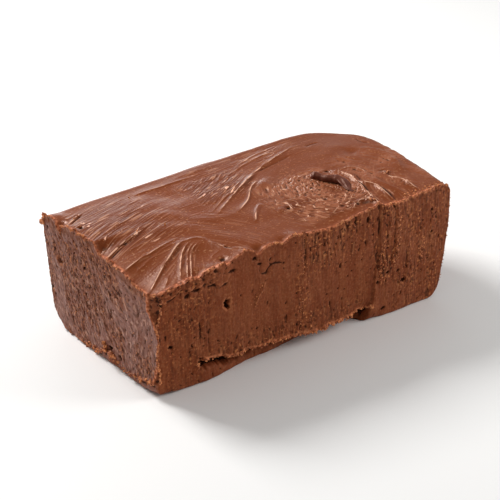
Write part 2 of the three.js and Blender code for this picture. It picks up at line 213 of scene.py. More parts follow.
# thin crests, and grooves where the height is less than nothing, along the strokes
THIN_STROKES = [
    ([(0.9, 3.3), (3.5, 5.1), (9.7, 9.9), (16.9, 14.9), (20.4, 16.8)], 0.6, 0.5, 0.4),
    (FAN_RIDGE, 0.45, 0.4, 0.35),
    ([(10.7, -0.3), (14.9, 6), (19.3, 12), (23.2, 14.7)], 0.45, 0.4, 0.3),
    ([(11.5, -1.1), (15.6, 5.3), (19.9, 11.5), (24.2, 14)], 0.45, 0.35, 0.5),
    ([(13.5, 0), (17, 5.5), (21, 11), (25.5, 13.6)], 0.2, 0.3, 0.3),
    ([(4.5, 1.5), (6.5, 3.4), (8, 5)], 0.35, 0.3, 0.3),
    (NEAR_RIDGE, 0.4, 0.4, 0.35),
    ([(3, 13), (9, 15), (15, 17), (20.5, 17.8)], 0.2, 0.3, 0.3),
    ([(4.7, 22.4), (9.1, 22.5), (12.7, 22.9)], 0.2, 0.4, 0.3),
    ([(20.4, 16.8), (25, 16.1), (26.8, 13.8)], 0.3, 0.5, 0.4),
    (DEEP_RIDGE, 0.45, 0.5, 0.3),
    ([(0.3, 22.6), (4.2, 24.4), (9.5, 26.2)], -0.35, 0.3, 0.3),
    ([(4.8, 25.6), (6.5, 26.2), (8.4, 26.5)], -0.7, 0.35, 0.3),
    ([(26.1, 13.4), (27.9, 7.8), (29.9, 3.9), (32.4, 0.8)], 0.4, 0.5, 0.9),
    ([(28.2, 7.6), (29.5, 5.1)], -1.2, 0.45, 0.35),
    ([(21.3, 4.1), (23.5, 6.3), (26.7, 6.7)], 0.2, 0.4, 0.4),
    ([(1.4, 45.8), (4.4, 48.1), (8, 50.2)], -0.4, 0.4, 0.3),
    ([(1.6, 46.9), (4.4, 49.1), (7.5, 51)], 0.35, 0.35, 0.35),
    ([(38.2, 24.5), (45.3, 29.6), (54.9, 36), (65.6, 41.9)], 0.45, 0.5, 0.35),
    ([(37.5, 26.5), (44.5, 31.5), (50.5, 35), (59, 40.5)], 0.25, 0.35, 0.35),
    ([(44.1, 22.3), (50.5, 26.9), (55.8, 32.8), (60.1, 35.8)], 0.45, 0.45, 0.35),
    ([(52.7, 33.9), (59.2, 38.7), (65.7, 42.6), (74.7, 46.2), (85.2, 50.1)], 0.35, 0.7, 0.45),
    ([(62, 40.4), (66.4, 42.1), (75.7, 44), (80, 45)], -0.25, 0.5, 0.5),
    ([(56, 44.5), (66, 49), (78, 51)], 0.25, 0.5, 0.4),
    ([(60, 47.5), (70, 52), (80, 53.5)], 0.2, 0.5, 0.4),
    (FIRST_RIB, 0.5, 0.4, 0.4),
    ([(82.6, 26.5), (84, 23.5), (84, 19), (83, 14)], -0.6, 0.35, 0.4),
    ([(86.4, 13), (87.2, 9), (86.6, 3)], -0.4, 0.35, 0.5),
    ([(80.3, 25), (81.5, 21.5), (81, 16), (79.8, 11)], 0.25, 0.3, 0.3),
    ([(79.8, 22), (80.3, 18.5), (79.8, 14)], 0.2, 0.3, 0.3),
    (SECOND_RIB[2:], 0.5, 0.4, 0.4),
    ([(76.5, 14.1), (73.8, 10.2), (69, 7.4), (62.9, 4.3)], 0.25, 0.3, 0.3),
    ([(77.8, 13), (75, 9), (70.5, 6.2), (65, 3.6)], 0.2, 0.3, 0.3),
    ([(45.3, 16.2), (49.6, 20.8), (52, 22.6)], 0.3, 0.35, 0.3),
    (HOOK, 0.35, 0.5, 0.4),
    ([(95, 19.5), (93.4, 14), (94.8, 8.8), (94.6, 3)], 0.45, 0.4, 0.4),
    ([(85, 27), (89, 26.5), (90.5, 22), (88.5, 18)], 0.3, 0.35, 0.35),
    ([(81.6, 14.5), (81.7, 10), (81, 4.6), (80.7, 0.5)], 0.3, 0.4, 0.4),
    ([(94.9, 10.1), (94.9, 5.6), (94.9, 1.1)], 0.3, 0.35, 0.35),
    ([(43.8, 14.2), (49.1, 19.7), (52.9, 22.5)], 0.25, 0.35, 0.35),
    ([(51.7, 23.3), (47, 18.5), (44.2, 13.9)], 0.2, 0.35, 0.35),
    ([(26.4, 51.6), (33.9, 51.4), (46, 51.4)], 0.3, 0.4, 0.35),
    ([(105.4, 44.1), (105, 40), (105.6, 37.5)], -0.35, 0.4, 0.4),
    ([(86.5, 24), (88.5, 22.5), (87.8, 19.5)], 0.25, 0.3, 0.3),
    ([(72, 30.2), (75, 28.8), (79, 29.6), (81.5, 29.8)], 0.3, 0.35, 0.3),
    ([(88, 47.5), (91, 48.5), (93.5, 48.3)], -0.3, 0.7, 0.5),
]

# dents in the top and notches in its rims: x, y, depth and radius
DENTS = [
    (22, 7, 0.7, 5),
    (24.2, 2.6, 0.8, 1),
    (33.5, 43.5, 0.6, 5),
    (61, 32, -0.5, 2.6),
    (97.5, 36, 0.7, 2.6),
    (105, 54, 1.4, 10),
    (-1, 7, 0.8, 6.5),
    (0, 1.6, 0.6, 1.3),
    (0, 38, 0.4, 2.6),
    (0, 49.2, 2.3, 1.6),
    (0.5, 55, -1.2, 3.4),
    (14, 0, 1.1, 2.4),
    (24.5, 0, 0.7, 1.6),
    (30, 0, -0.8, 2.6),
    (34.5, 0, 1.6, 1.7),
    (43, 0, 0.8, 1.5),
    (47.5, 0, -0.8, 3),
    (86.5, 0, 0.9, 5),
    (2.6, 41.8, 0.9, 0.6),
    (81.3, 28.4, 1, 0.6),
    (95, 18.6, 1.3, 0.8),
    (74.2, 5.2, 1, 0.5),
    (56.9, 15.6, 0.7, 0.5),
    (70.5, 22.6, 0.6, 0.5),
]


def strokes_at(strokes, profile, x, y):
    """The height that strokes of this profile add."""
    height = np.zeros(x.shape)
    for path, raised, left, right in strokes:
        line = curve_through(path)
        reach = 4 * max(left, right)
        low, high = line.min(0) - reach, line.max(0) + reach
        near = (x > low[0]) & (x < high[0]) & (y > low[1]) & (y < high[1])
        distance, along = beside(line, x[near], y[near])
        fade = smooth(along, -0.1, 0.2) * (1 - smooth(along, 0.8, 1.1))
        height[near] += raised * fade * profile(distance, np.where(distance > 0, left, right))
    return height


# what the knife's marks turn round: the fan behind the near corner, the sweep beside it, the curl
FAN_AT = (26, 17)
SWEEP_AT = (8, -4)
CURL_AT = (78, 20)


def knife_flow(x, y):
    """Zones of the top that the knife's edge scored: how strongly, and places across and along."""
    warp = 1.2 * grain(x / 14, y / 14, 40)
    # drawn in from the cut end, bending to run along the block
    zone = smooth(y, 18, 25) * (1 - smooth(y, 50, 56))
    zone = zone * (1 - 0.75 * smooth(x, 16, 30)) * (1 - smooth(x, 34, 60))
    zones = [(0.8 * zone, y - 0.5 * x + 0.006 * x * x + warp, x)]
    # drawn together behind the near corner
    dx, dy = x - FAN_AT[0], y - FAN_AT[1]
    zone = (1 - smooth(np.hypot(dx, dy), 20, 32)) * smooth(-dx, 1, 6) * (1 - smooth(y, 16, 23))
    zones += [(0.35 * zone, np.arctan2(dy, -dx) * 14, np.hypot(dx, dy))]
    # the swept band that runs on from them to the long cut side
    dx, dy = x - SWEEP_AT[0], y - SWEEP_AT[1]
    zone = smooth(x, 24, 30) * (1 - smooth(x, 38, 50)) * (1 - smooth(y, 24, 32))
    zones += [(0.3 * zone, 0.8 * np.hypot(dx, dy), np.arctan2(dy, dx) * 30)]
    # short ripples in the middle
    across, along = -0.5 * x + 0.866 * y + warp, 0.866 * x + 0.5 * y
    zone = smooth(x, 36, 42) * (1 - smooth(x, 54, 64)) * smooth(y, 28, 34) * (1 - smooth(y, 46, 50))
    zones += [(0.9 * zone, across, 2 * along)]
    # right of the curl
    zone = smooth(x, 78, 82) * (1 - smooth(x, 94, 104)) * (1 - smooth(y, 24, 32))
    zones += [(0.3 * zone, 0.8 * (x - 0.02 * y * y), y)]
    # along the far side
    zone = smooth(y, 42, 48) * smooth(x, 30, 50) * (1 - smooth(x, 90, 100))
    zones += [(0.4 * zone, 0.8 * (y - 0.12 * x), x)]
    # round the curl, where the fudge pulled up with the knife
    dx, dy = x - CURL_AT[0], y - CURL_AT[1]
    zone = smooth(x, 50, 58) * (1 - smooth(x, 78, 82)) * smooth(y, 2, 6) * (1 - smooth(y, 28, 36))
    across = np.hypot(dx, dy) + 0.7 * grain(x / 3, y / 3, 52)
    zones += [(1.2 * zone, across, np.arctan2(dy, dx) * 60)]
    return zones


def knife_lines(x, y):
    """Fine lines along the knife's path, and a mask for painted glints on their tops and painted
    shade in their hollows.
    """
    lines, clear = 0, 0
    for number, (zone, across, along) in enumerate(knife_flow(x, y)):
        seed = 40 + 10 * number
        strength = np.clip(0.5 + 0.9 * grain(across / 2, along / 5, seed + 1), 0, 2)
        sharp = np.clip(0.8 - 3.4 * np.abs(grain(across / 0.9, along / 9, seed + 2)), -0.4, 0.8)
        lines = lines + zone * (strength * sharp + 0.25 * grain(across / 0.4, along / 5, seed + 3))
        # painted glints where the lines stand highest, and painted shade where they sink lowest
        glint_or_shade = smooth(strength * sharp, 0.35, 0.75) - 0.8 * smooth(-strength * sharp, 0.25, 0.5)
        clear = np.where(zone > 0.05, np.minimum(zone, 1) * glint_or_shade, clear)
    return 0.13 * lines, clear


def pulled_up(x, y):
    """Where the fudge pulled up with the knife: round the curl, and softly on past it."""
    patchy = np.clip(0.8 + 1.1 * grain(x / 5, y / 4, 57), 0, 1.3)
    round_curl = smooth(x, 50, 60) * (1 - smooth(x, 79, 84))
    round_curl = round_curl * smooth(y, 2, 6) * (1 - smooth(y, 28, 36))
    beyond = smooth(x, 82, 86) * smooth(y, 3, 8) * (1 - smooth(y, 30, 40))
    return patchy * round_curl, patchy * beyond


def crinkles(x, y):
    """The pebbly skin where the fudge pulled up with the knife."""
    round_curl, beyond = pulled_up(x, y)
    dx, dy = x - CURL_AT[0], y - CURL_AT[1]
    out = np.hypot(dx, dy) / 0.5 + 0.8 * grain(x / 1.6, y / 1.6, 58)
    pebbles = rough(out, np.arctan2(dy, dx) * 7.5, 55, 2)
    wrinkles = rough(x / 1.1, y / 1.6, 59, 3) - 0.8 * smooth(grain(x / 1.2, y / 1.2, 161), 0.6, 0.9)
    return 0.22 * round_curl * pebbles + 0.15 * beyond * wrinkles


def glint_profile(distance, width):
    """A thin line with a hollow on both sides: a painted glint with painted shade beside it."""
    return bell(distance, width) - 0.5 * bell(np.abs(distance) - 3 * width, 1.5 * width)


def glint_and_shade_lines(x, y):
    """Painted glints along the knife's thin strokes, up to 1, and painted shade in their grooves
    and beside the glints, down to -1.
    """
    half = 0.2
    painted_glint_and_shade = [(path, np.clip(2.2 * raised, -1, 1), half, half) for path, raised, *_ in THIN_STROKES]
    broken = np.clip(0.85 + 0.7 * grain(x / 2, y / 2, 160), 0.2, 1)
    painted_lines = strokes_at(painted_glint_and_shade, glint_profile, x, y) * broken
    return np.clip(painted_lines + knife_lines(x, y)[1], -1, 1)


def top_level(x, y):
    """The height of the top: it rises to the far corner and falls off towards the cut end."""
    z = HEIGHT + RISE_ALONG * x / LENGTH + RISE_ACROSS * y / WIDTH
    inward = np.clip(x, 0, None)
    # the near corner, the far one, and the knife's way in between them
    z = z - 3.6 * np.exp(-inward / 16) * (1 - smooth(y, 8, 26))
    z = z - 1.5 * np.exp(-inward / 24) * smooth(y, 36, WIDTH)
    z = z - 1.1 * np.exp(-inward / 8) * smooth(y, 44, 54)
    z = z - 2.9 * np.exp(-inward / 7) * smooth(y, 14, 27) * (1 - smooth(y, 27.5, 31.5))
    # the middle of the long cut side, and the far side opposite
    z = z - 1.2 * bell(x - 60, 9) * np.exp(-np.clip(y, 0, None) / 12)
    z = z - 0.5 * bell(x - 33, 22) * smooth(y, 42, WIDTH)
    z = z + strokes_at(STROKES, bell, x, y) + strokes_at(THIN_STROKES, crest, x, y)
    for dent_x, dent_y, depth, radius in DENTS:
        z = z - depth * bell(np.hypot(x - dent_x, y - dent_y), radius)
    undulation = 0.16 * rough(x / 13, y / 9, 60, 2)
    return z + undulation + knife_lines(x, y)[0] + crinkles(x, y)


def from_tray_sides(x, y):
    """The distance in from the moulded sides."""
    past, behind = x - (far_end(y) - TRAY_CORNER), y - (WIDTH - TRAY_CORNER)
    round_corner = TRAY_CORNER - np.hypot(past, behind)
    straight = np.minimum(far_end(y) - x, WIDTH - y)
    return np.where((past > 0) & (behind > 0), round_corner, straight)


def foot_line(x):
    """The ragged lip over the torn recess, or the top of the rounded foot."""
    in_lip = smooth(x, LIP_FROM - 3, LIP_FROM + 3) * (1 - smooth(x, LIP_TO - 2, LIP_TO + 2))
    places = [14, 17, 19.5, 22.5, 25, 27, 30, 36, 40, 45, 52, 60, 70, 78]
    heights = [7.6, 7.3, 6.9, 6.1, 5.3, 4.8, 5.3, 5.3, 4.9, 4.4, 3.8, 3.4, 3.6, 4.8]
    scallops = 0.5 * grain(x / 2.2, 0.5, 61) + 0.35 * rough(x / 0.9, 0.5, 62, 2)
    lip = np.interp(x, places, heights) + scallops
    return CUT_FOOT + (lip - CUT_FOOT) * in_lip


def lip_share(x):
    """Where the ragged lip overhangs, from 0 to 1."""
    return smooth(x, LIP_FROM - 1, LIP_FROM + 2) * (1 - smooth(x, LIP_TO - 4, LIP_TO))


def recess_depth(x):
    """The depth of the torn recess: deepest near the step, with a hollow near its start."""
    deepest_at = 0.78
    along = np.clip((x - LIP_FROM) / (LIP_TO - LIP_FROM), 0, 1)
    skewed = along ** (math.log(0.5) / math.log(deepest_at))
    near = 1.4 * bell(x - 31, 9) * smooth(x, LIP_FROM, LIP_FROM + 4)
    return RECESS_DEPTH * np.sin(np.pi * skewed).clip(0, 1) ** 0.65 + near


def cut_foot_inset(z, reach):
    """How far a cut side's soft foot stands in at a height."""
    below = np.clip(reach * 1.2 - z, 0, None) / (reach * 1.2)
    return reach * (1 - np.sqrt(1 - below * below))


# holes in the cut sides: place along, height, half width, half height and depth
LONG_HOLES = [
    (23.5, 22.3, 0.9, 1, 3.2),
    (24.1, 21.4, 0.5, 0.8, 3),
    (22.8, 22.9, 0.4, 0.9, 2.4),
    (4.7, 14.7, 0.8, 0.5, 1.6),
    (14.2, 7, 0.9, 1.2, 2.2),
    (15.5, 5.6, 0.8, 0.7, 1.8),
    (32, 33.2, 0.5, 0.45, 1.2),
    (79, 12.2, 0.5, 0.35, 1.2),
    (89.5, 10, 0.9, 0.45, 1.4),
    (83, 2.9, 0.8, 0.4, 1.2),
    (73.5, 33.4, 0.4, 0.9, 1.2),
    (98.5, 30.2, 0.45, 0.35, 0.9),
    (99, 22.9, 0.4, 0.35, 0.9),
    (70.5, 25, 0.3, 0.5, 0.9),
    (82.6, 14.4, 0.5, 0.35, 1),
    (86.8, 14, 0.5, 0.4, 1),
    (9, 28.6, 0.8, 0.6, 0.9),
    (12.4, 29.4, 1, 0.5, 0.9),
    (24.5, 31.6, 1.6, 0.45, 0.9),
    (33.8, 31, 0.7, 0.35, 0.9),
]
END_HOLES = [
    (51, 22.9, 0.9, 0.8, 3),
    (57.3, 31.4, 0.6, 0.5, 1.4),
    (36.7, 25.8, 0.6, 0.5, 1.8),
    (22.5, 23.3, 0.4, 0.35, 1),
    (24, 16.1, 0.5, 0.9, 2.2),
    (11.7, 15.3, 0.4, 0.4, 1),
    (11.5, 29.8, 0.8, 0.35, 1.2),
    (31.5, 21.2, 0.3, 0.8, 1),
    (48, 19.4, 0.4, 0.9, 1),
    (19.5, 4.2, 1, 0.7, 1.8),
    (25, 5.4, 1, 0.5, 1.6),
    (4, 3.6, 2, 0.45, 1.2),
]


def holes_at(holes, along, z, seed):
    """The depth of the holes, with uneven rims."""
    depth = np.zeros(along.shape)
    uneven = 0.35 * rough(along / 0.6, z / 0.6, seed, 2)
    for at, height, wide, tall, deep in holes:
        out = np.hypot((along - at) / wide, (z - height) / tall) + uneven
        depth = np.maximum(depth, deep * (1 - smooth(out, 0.6, 1.3)))
    return depth


def pores_at(along, z, count, wide, tall, deep, lean, seed, where):
    """Small pores at random places, more of them where the given function is high."""
    random = np.random.default_rng(seed)
    shape = along.shape
    along, z, depth = along.ravel(), z.ravel(), np.zeros(along.size)
    order = np.argsort(along)
    sorted_along = along[order]
    for _ in range(count):
        at, height = random.uniform(0, 107), random.uniform(1, 36)
        size = 0.5 + 1.1 * random.uniform() ** 2
        tilt = lean + random.uniform(-0.3, 0.3)
        chance = random.uniform()
        if chance > where(at, height):
            continue
        reach = 1.6 * size * (wide + abs(tilt) * tall)
        first, last = np.searchsorted(sorted_along, [at - reach, at + reach])
        near = order[first:last]
        dz = z[near] - height
        out = np.hypot((along[near] - at - tilt * dz) / (wide * size), dz / (tall * size))
        depth[near] = np.maximum(depth[near], deep * size * (1 - smooth(out, 0.5, 1.3)))
    return depth.reshape(shape)


def drag_zone(x, z):
    """Where the knife dragged and tore the long cut side, from 0 to 1."""
    ragged = 2 * grain(x / 4, z / 5, 64)
    run_down = 0.55 * bell(x - 50.5 - 0.3 * ragged, 3)
    below_rim = 0.7 * smooth(x, 48, 54) * (1 - smooth(x, 76, 82)) * smooth(z + 2 * ragged, 18, 26)
    beside_step = bell(x - 81 - 0.3 * ragged, 4) * smooth(z, 9, 14)
    far_part = 0.45 * smooth(x, 80, 86)
    low = 0.6 * smooth(x, 12, 18) * (1 - smooth(x, 66, 76)) * (1 - smooth(z + ragged, 8, 13))
    near_rim = 0.4 * smooth(z, 22, 26) * smooth(x, 4, 10) * (1 - smooth(x, 16, 24))
    near_corner = 0.4 * (1 - smooth(x, 14, 24)) * smooth(x, 1, 4) * (1 - 0.5 * smooth(z, 26, 30))
    zones = (run_down, below_rim, beside_step, far_part, low, near_rim, near_corner)
    patchy = np.clip(0.8 + 0.7 * grain(x / 1.8, z / 5, 78), 0.2, 1.2)
    return np.max(np.broadcast_arrays(*zones), axis=0) * patchy + 0.12


def smeared_long(x, z):
    """Patches of the long side that the blade wiped smooth, from 0 to 1."""
    left = (1 - smooth(x, 28, 50)) * (1 - smooth(z, 27, 31))
    patches = grain((x + 0.05 * z) / 6, z / 12, 65) + 0.5 * grain(x / 2, z / 7, 66)
    return smooth(patches + 0.9 * left, 0.1, 0.6)


def along_drag(y, z):
    """Constant along the marks that the blade left on the end: they slant more higher up."""
    return y - 0.45 * smooth(y, 4, 28) * z + 0.4 * grain(y / 7, z / 7, 100)


def porous_end(y, z):
    """Where the cut end is most porous, from 0 to about 1."""
    return bell(y - 46, 8) * bell(z - 27, 5) + bell(y - 41, 10) * bell(z - 16, 7)


def corner_fringe(z):
    """How far from the near upright edge the blade's smear on the end stops."""
    heights = [0, 5, 10, 16, 19, 21, 23.5, 26, 36]
    return np.interp(z, heights, [0.5, 2, 0.2, -0.8, -1.4, -0.5, 1.2, 3.6, 3.4])


def corner_cut(y, z):
    """How far the cut end falls back where the near upright edge crumbled away."""
    return 0.4 * np.clip(corner_fringe(z) - y, 0, None)


def end_foot(y):
    """Height of the crumbly line where the cut end stops and its smooth foot begins."""
    return np.interp(y, [0.7, 9, 15.5, 21, 26, 32, 39, 50], [4.6, 3, 1.8, 2.6, 3.8, 1.5, 0.7, 0.5])


def smeared_end(y, z):
    """Patches of the cut end that the blade wiped smooth, from 0 to 1."""
    lean = along_drag(y, z)
    patches = grain(lean / 4, z / 9, 67) + 0.6 * grain(lean / 1.8, z / 4, 68)
    edges = 0.5 * smooth(y, 50, 55) + 0.7 * bell(y, 9)
    wiped = smooth(patches - 0.8 * porous_end(y, z) + edges, -0.2, 0.3)
    return wiped * smooth(y - corner_fringe(z), -0.3, 0.5)


# the crumbly run down the proud part, and how far the smear at the left comes down from the rim
RUN_AT = 84.8
SMEAR_DOWN = 5.3


def long_relief(x, z):
    """The fine relief of the long cut side, positive inwards."""
    torn = drag_zone(x, z) * (1 - 0.75 * smeared_long(x, z))
    lean = x + 0.04 * z + 0.5 * grain(x / 6, z / 7, 70)
    crumbly = (1 - smooth(x, 0.8, 2)) * smooth(z, 6, 12)
    relief = (0.04 + 0.1 * crumbly) * rough(x / 0.9, z / 0.9, 77, 3)
    relief += 0.03 * rough(lean / 0.42, z / 2.5, 85, 2) + 0.06 * rough(x / 0.45, z / 0.45, 86, 2)
    drawn = 0.1 * rough(lean / 0.5, z / 5, 71, 3) - 0.12 * np.abs(grain(lean / 0.8, z / 7, 75))
    relief += torn * drawn
    relief += 0.22 * torn * smooth(grain(lean / 0.4, z / 2, 79), 0.5, 0.85)
    relief -= 0.25 * torn * smooth(grain(lean / 0.4, z / 1.2, 82), 0.6, 0.9)
    # the crumbly run, a ridge beside it, and another where the torn part starts
    middle = RUN_AT + 0.3 * grain(z / 3, 0, 80)
    crumbled = 0.25 + 0.4 * rough(x / 0.7, z / 0.9, 81, 2)
    relief -= bell(x - middle, 0.6) * smooth(z, 15, 19) * crumbled
    relief += 0.2 * bell(x - middle + 1.1, 0.35) * smooth(z, 14, 20)
    relief += 0.15 * bell(x - 50 - 0.4 * grain(z / 3, 0, 87), 0.4) * smooth(z, 19, 23)
    # the band that the knife smeared down from the left of the rim
    edge = HEIGHT - SMEAR_DOWN + 1.2 * waver(x, 5) + 1.1 * rough(x / 2.4, 0, 88, 2)
    band = smooth(z, edge - 0.4, edge + 0.3) * (1 - smooth(x, 20, 26))
    lumpy = 0.35 * rough(x / 1.8, z / 1.2, 83, 2) + 0.08 * rough(x / 0.6, z / 0.6, 84, 2)
    relief -= band * (0.6 + lumpy)
    gaps = np.clip(0.1 + 1.3 * grain(x / 2.2, z / 2, 89), 0, 1.3)
    relief += 0.6 * bell(z - edge + 0.6, 0.4) * (1 - smooth(x, 18, 26)) * gaps
    return relief


# cracks in the long side, as strokes in x and z, and one raised line, with less than no depth
MAIN_CRACK = [(33.8, 28), (36.1, 27.5), (36.9, 28.6), (37.9, 29.3), (39.3, 29.6), (41.9, 29)]
CRACKS = [
    (MAIN_CRACK, 0.8, 0.3, 0.3),
    ([(37.9, 29.3), (37.2, 30.6), (38.4, 32)], 0.5, 0.3, 0.3),
    ([(34.2, 28.2), (33.9, 29.6), (35, 30.8)], 0.4, 0.3, 0.3),
    ([(36, 26.2), (35.6, 23.6), (34.6, 21.2), (33.2, 17.4)], -0.6, 0.3, 0.3),
    ([(17.2, 9), (17.5, 14), (17.6, 20)], 0.35, 0.25, 0.25),
    ([(14.5, 14), (14.5, 17), (14.4, 20)], 0.7, 0.25, 0.25),
    ([(49.2, 22), (50.2, 26), (50, 33)], 0.25, 0.3, 0.3),
    ([(77.8, 33), (77.9, 31), (77.7, 28)], 0.5, 0.3, 0.3),
    ([(78.3, 25), (78.4, 21), (78.1, 16)], 0.5, 0.3, 0.3),
    ([(89.6, 14), (89.9, 17.5), (89.4, 20)], 0.4, 0.3, 0.3),
]


# how many pores are tried: upright tears and round specks in the long side, dashes in the end
TEARS, SPECKS, DASHES = 700, 850, 1000


def tear_chance(x, z):
    """How likely the blade tore an upright pore in the long side."""
    return drag_zone(x, z) + 0.1


def speck_chance(x, z):
    """How likely the long side has a round pore."""
    return 0.35 + 0.2 * grain(x / 5, z / 5, 94)


def dash_chance(y, z):
    """How likely the cut end has a slanting pore."""
    return 0.55 + porous_end(y, z)


def long_cut(x, z):
    """How far in the long cut side stands, with its step, lip, recess, scoop, holes and relief."""
    line = foot_line(x)
    foot_reach = 0.9 + 1.7 * bell(x, 5) + 1.4 * bell(x - 80, 4)
    y = 0.25 * waver(x * 0.6 + z * 0.15, 1) + cut_foot_inset(z, foot_reach)
    y = y - STEP_OUT * smooth(x, LIP_TO - 0.4, LIP_TO + 0.4)
    y = y - 0.7 * bell(z - line, 0.9) * lip_share(x) * (0.8 + 0.9 * grain(x / 1.1, 0, 72))
    y = y + np.clip(corner_fringe(z), None, 0) * bell(x, 0.9)
    under = np.clip((line - z) / line, 0, 1)
    y = y + recess_depth(x) * smooth(under, 0, 0.16) * (1 - 0.15 * under)
    cave = np.clip(0.55 + 0.7 * grain(x / 3, 0, 73), 0, 1)
    cave = cave + smooth(x, 15, 17) * (1 - smooth(x, 28, 40))
    y = y + 3 * cave * bell(z - line + 1.4 + 0.3 * grain(x / 1.3, 0, 74), 0.95) * lip_share(x)
    above = smooth(z, line - 0.2, line + 1.2)
    plain_foot = np.clip(smooth(z, 4.2, 5.4) + smooth(x, 6, 12), 0.1, 1)
    relief = long_relief(x, z) + strokes_at(CRACKS, crest, x, z)
    from_scoop = np.hypot((x - SCOOP_AT) / 3.2, (z - SCOOP_HEIGHT) / 3)
    scoop = SCOOP_DEPTH * bell(from_scoop, 1) * (1 - smooth(x, LIP_TO - 1, LIP_TO - 0.2))
    pits = np.maximum(holes_at(LONG_HOLES, x, z, 90), scoop)
    tears = pores_at(x, z, TEARS, 0.13, 0.5, 0.4, 0, 91, tear_chance)
    specks = pores_at(x, z, SPECKS, 0.2, 0.18, 0.4, 0, 92, speck_chance)
    return y + relief * above * plain_foot + np.maximum(pits, np.maximum(tears, specks))


def end_cut(y, z):
    """How far in the cut end stands, with its worn corner, crumbly foot, holes and relief."""
    x = 0.25 * waver(y * 0.7 - z * 0.2, 3) + cut_foot_inset(z, 0.9 + 2.4 * bell(y, 6))
    lean = along_drag(y, z)
    torn = 1 - 0.5 * smeared_end(y, z)
    relief = 0.09 * rough(lean / 1, z / 2.4, 85, 2) + 0.05 * rough(y / 0.6, z / 0.6, 104, 2)
    drawn = 0.06 * rough(lean / 0.6, z / 1.4, 101, 3) + 0.08 * rough(y / 0.5, z / 0.5, 108, 2)
    relief += torn * drawn
    relief += (0.06 + 0.24 * torn) * smooth(grain(lean / 0.4, z / 0.8, 107), 0.5, 0.85)
    # the crumbly strip between the smear and the near upright edge
    off_edge = corner_fringe(z) - y
    crumbled = 0.1 + 0.1 * rough(y / 0.9, z / 0.9, 112, 3)
    relief += smooth(off_edge, -0.5, 0.5) * crumbled + corner_cut(y, z)
    relief -= 0.3 * bell(off_edge, 0.5) * np.clip(0.5 + 0.9 * grain(z / 0.9, 0, 113), 0, 1.2)
    pits = holes_at(END_HOLES, y, z, 95)
    dashes = pores_at(y, z, DASHES, 0.11, 0.28, 0.5, 0.4, 96, dash_chance)
    over_foot = z - end_foot(y)
    above = smooth(over_foot, -0.3, 0.5)
    ragged = np.clip(0.5 + 0.8 * grain(y / 1.1, 0, 114), 0, 1.2)
    x = x - 0.5 * ragged * bell(over_foot, 0.5) + 0.5 * ragged * bell(over_foot + 1, 0.6)
    return x + relief * np.clip(above, 0.12, 1) + np.maximum(pits, dashes) * above


def tray_relief(along, z):
    """Dimples and faint creases that the tray's lining left on the moulded sides."""
    creases = 0.8 - 2 * np.abs(grain(along / 6, z / 9, 130))
    return 0.08 * rough(along / 3.5, z / 3, 132, 3) + 0.1 * np.clip(creases, 0, 1)


def place(u, v, z, under):
    """Where a point of the unit square lies at a height. u runs along and v across."""
    spur = 0.9 * bell(u * LENGTH, 3) * smooth(z, 25, 34)
    inset = shoulder_inset(under) + wall_lean(z)
    back = WIDTH + spur - inset - foot_inset(SIDE_FOOT, z) - tray_relief(u * LENGTH, z)
    front = long_cut(u * LENGTH, z)
    y = front + (back - front) * v
    left = end_cut(y, z)
    right = far_end(y) - inset - foot_inset(END_FOOT, z) - tray_relief(y + 200, z)
    x = left + (right - left) * u
    # the square grid is bent onto the round upright corner
    s = np.clip((x - right + TRAY_CORNER) / TRAY_CORNER, 0, 1)
    t = np.clip((y - back + TRAY_CORNER) / TRAY_CORNER, 0, 1)
    round_x = right - TRAY_CORNER + TRAY_CORNER * s * np.sqrt(1 - t * t / 2)
    round_y = back - TRAY_CORNER + TRAY_CORNER * t * np.sqrt(1 - s * s / 2)
    return np.where(s > 0, round_x, x), np.where(t > 0, round_y, y)


def burr(along, seed):
    """How far the crumbly burr along a cut rim stands out and up, in uneven knobs."""
    strength = np.clip(0.7 + 0.9 * grain(along / 4, 0, seed + 4), 0.1, 1.6)
    knobs = np.clip([grain(along / 1.3, 0, seed), grain(along / 0.5, 0, seed + 1)], 0, 1)
    out = 0.7 * knobs[0] + 0.3 * knobs[1]
    up = 0.8 * np.clip(grain(along / 1.4, 0, seed + 2), -0.3, 1)
    up = up + 0.3 * grain(along / 0.45, 0, seed + 3)
    return 0.1 + strength * out, 0.25 + 0.8 * strength * up


# the top sheet
u, v = np.meshgrid(np.linspace(0, 1, COLUMNS_ALONG + 1), np.linspace(0, 1, COLUMNS_ACROSS + 1))
sheet_x, sheet_y = place(u, v, np.full(u.shape, HEIGHT), SHOULDER_SHARE)
sheet_z = top_level(sheet_x, sheet_y) - shoulder_inset(from_tray_sides(sheet_x, sheet_y))
long_out, long_up = burr(sheet_x, 110)
end_out, end_up = burr(sheet_y, 120)
from_long = np.clip(sheet_y, 0, None)
from_end = np.clip(sheet_x - corner_cut(sheet_y, HEIGHT), 0, None)
lumps = 1 + 0.5 * rough(sheet_x / 0.7, sheet_y / 0.7, 128, 2)
sheet_z = sheet_z + lumps * (long_up * bell(from_long, 0.7) + end_up * bell(from_end, 0.7))
sheet_y = sheet_y - long_out * bell(from_long, 1)
sheet_x = sheet_x - end_out * bell(from_end, 1.2)

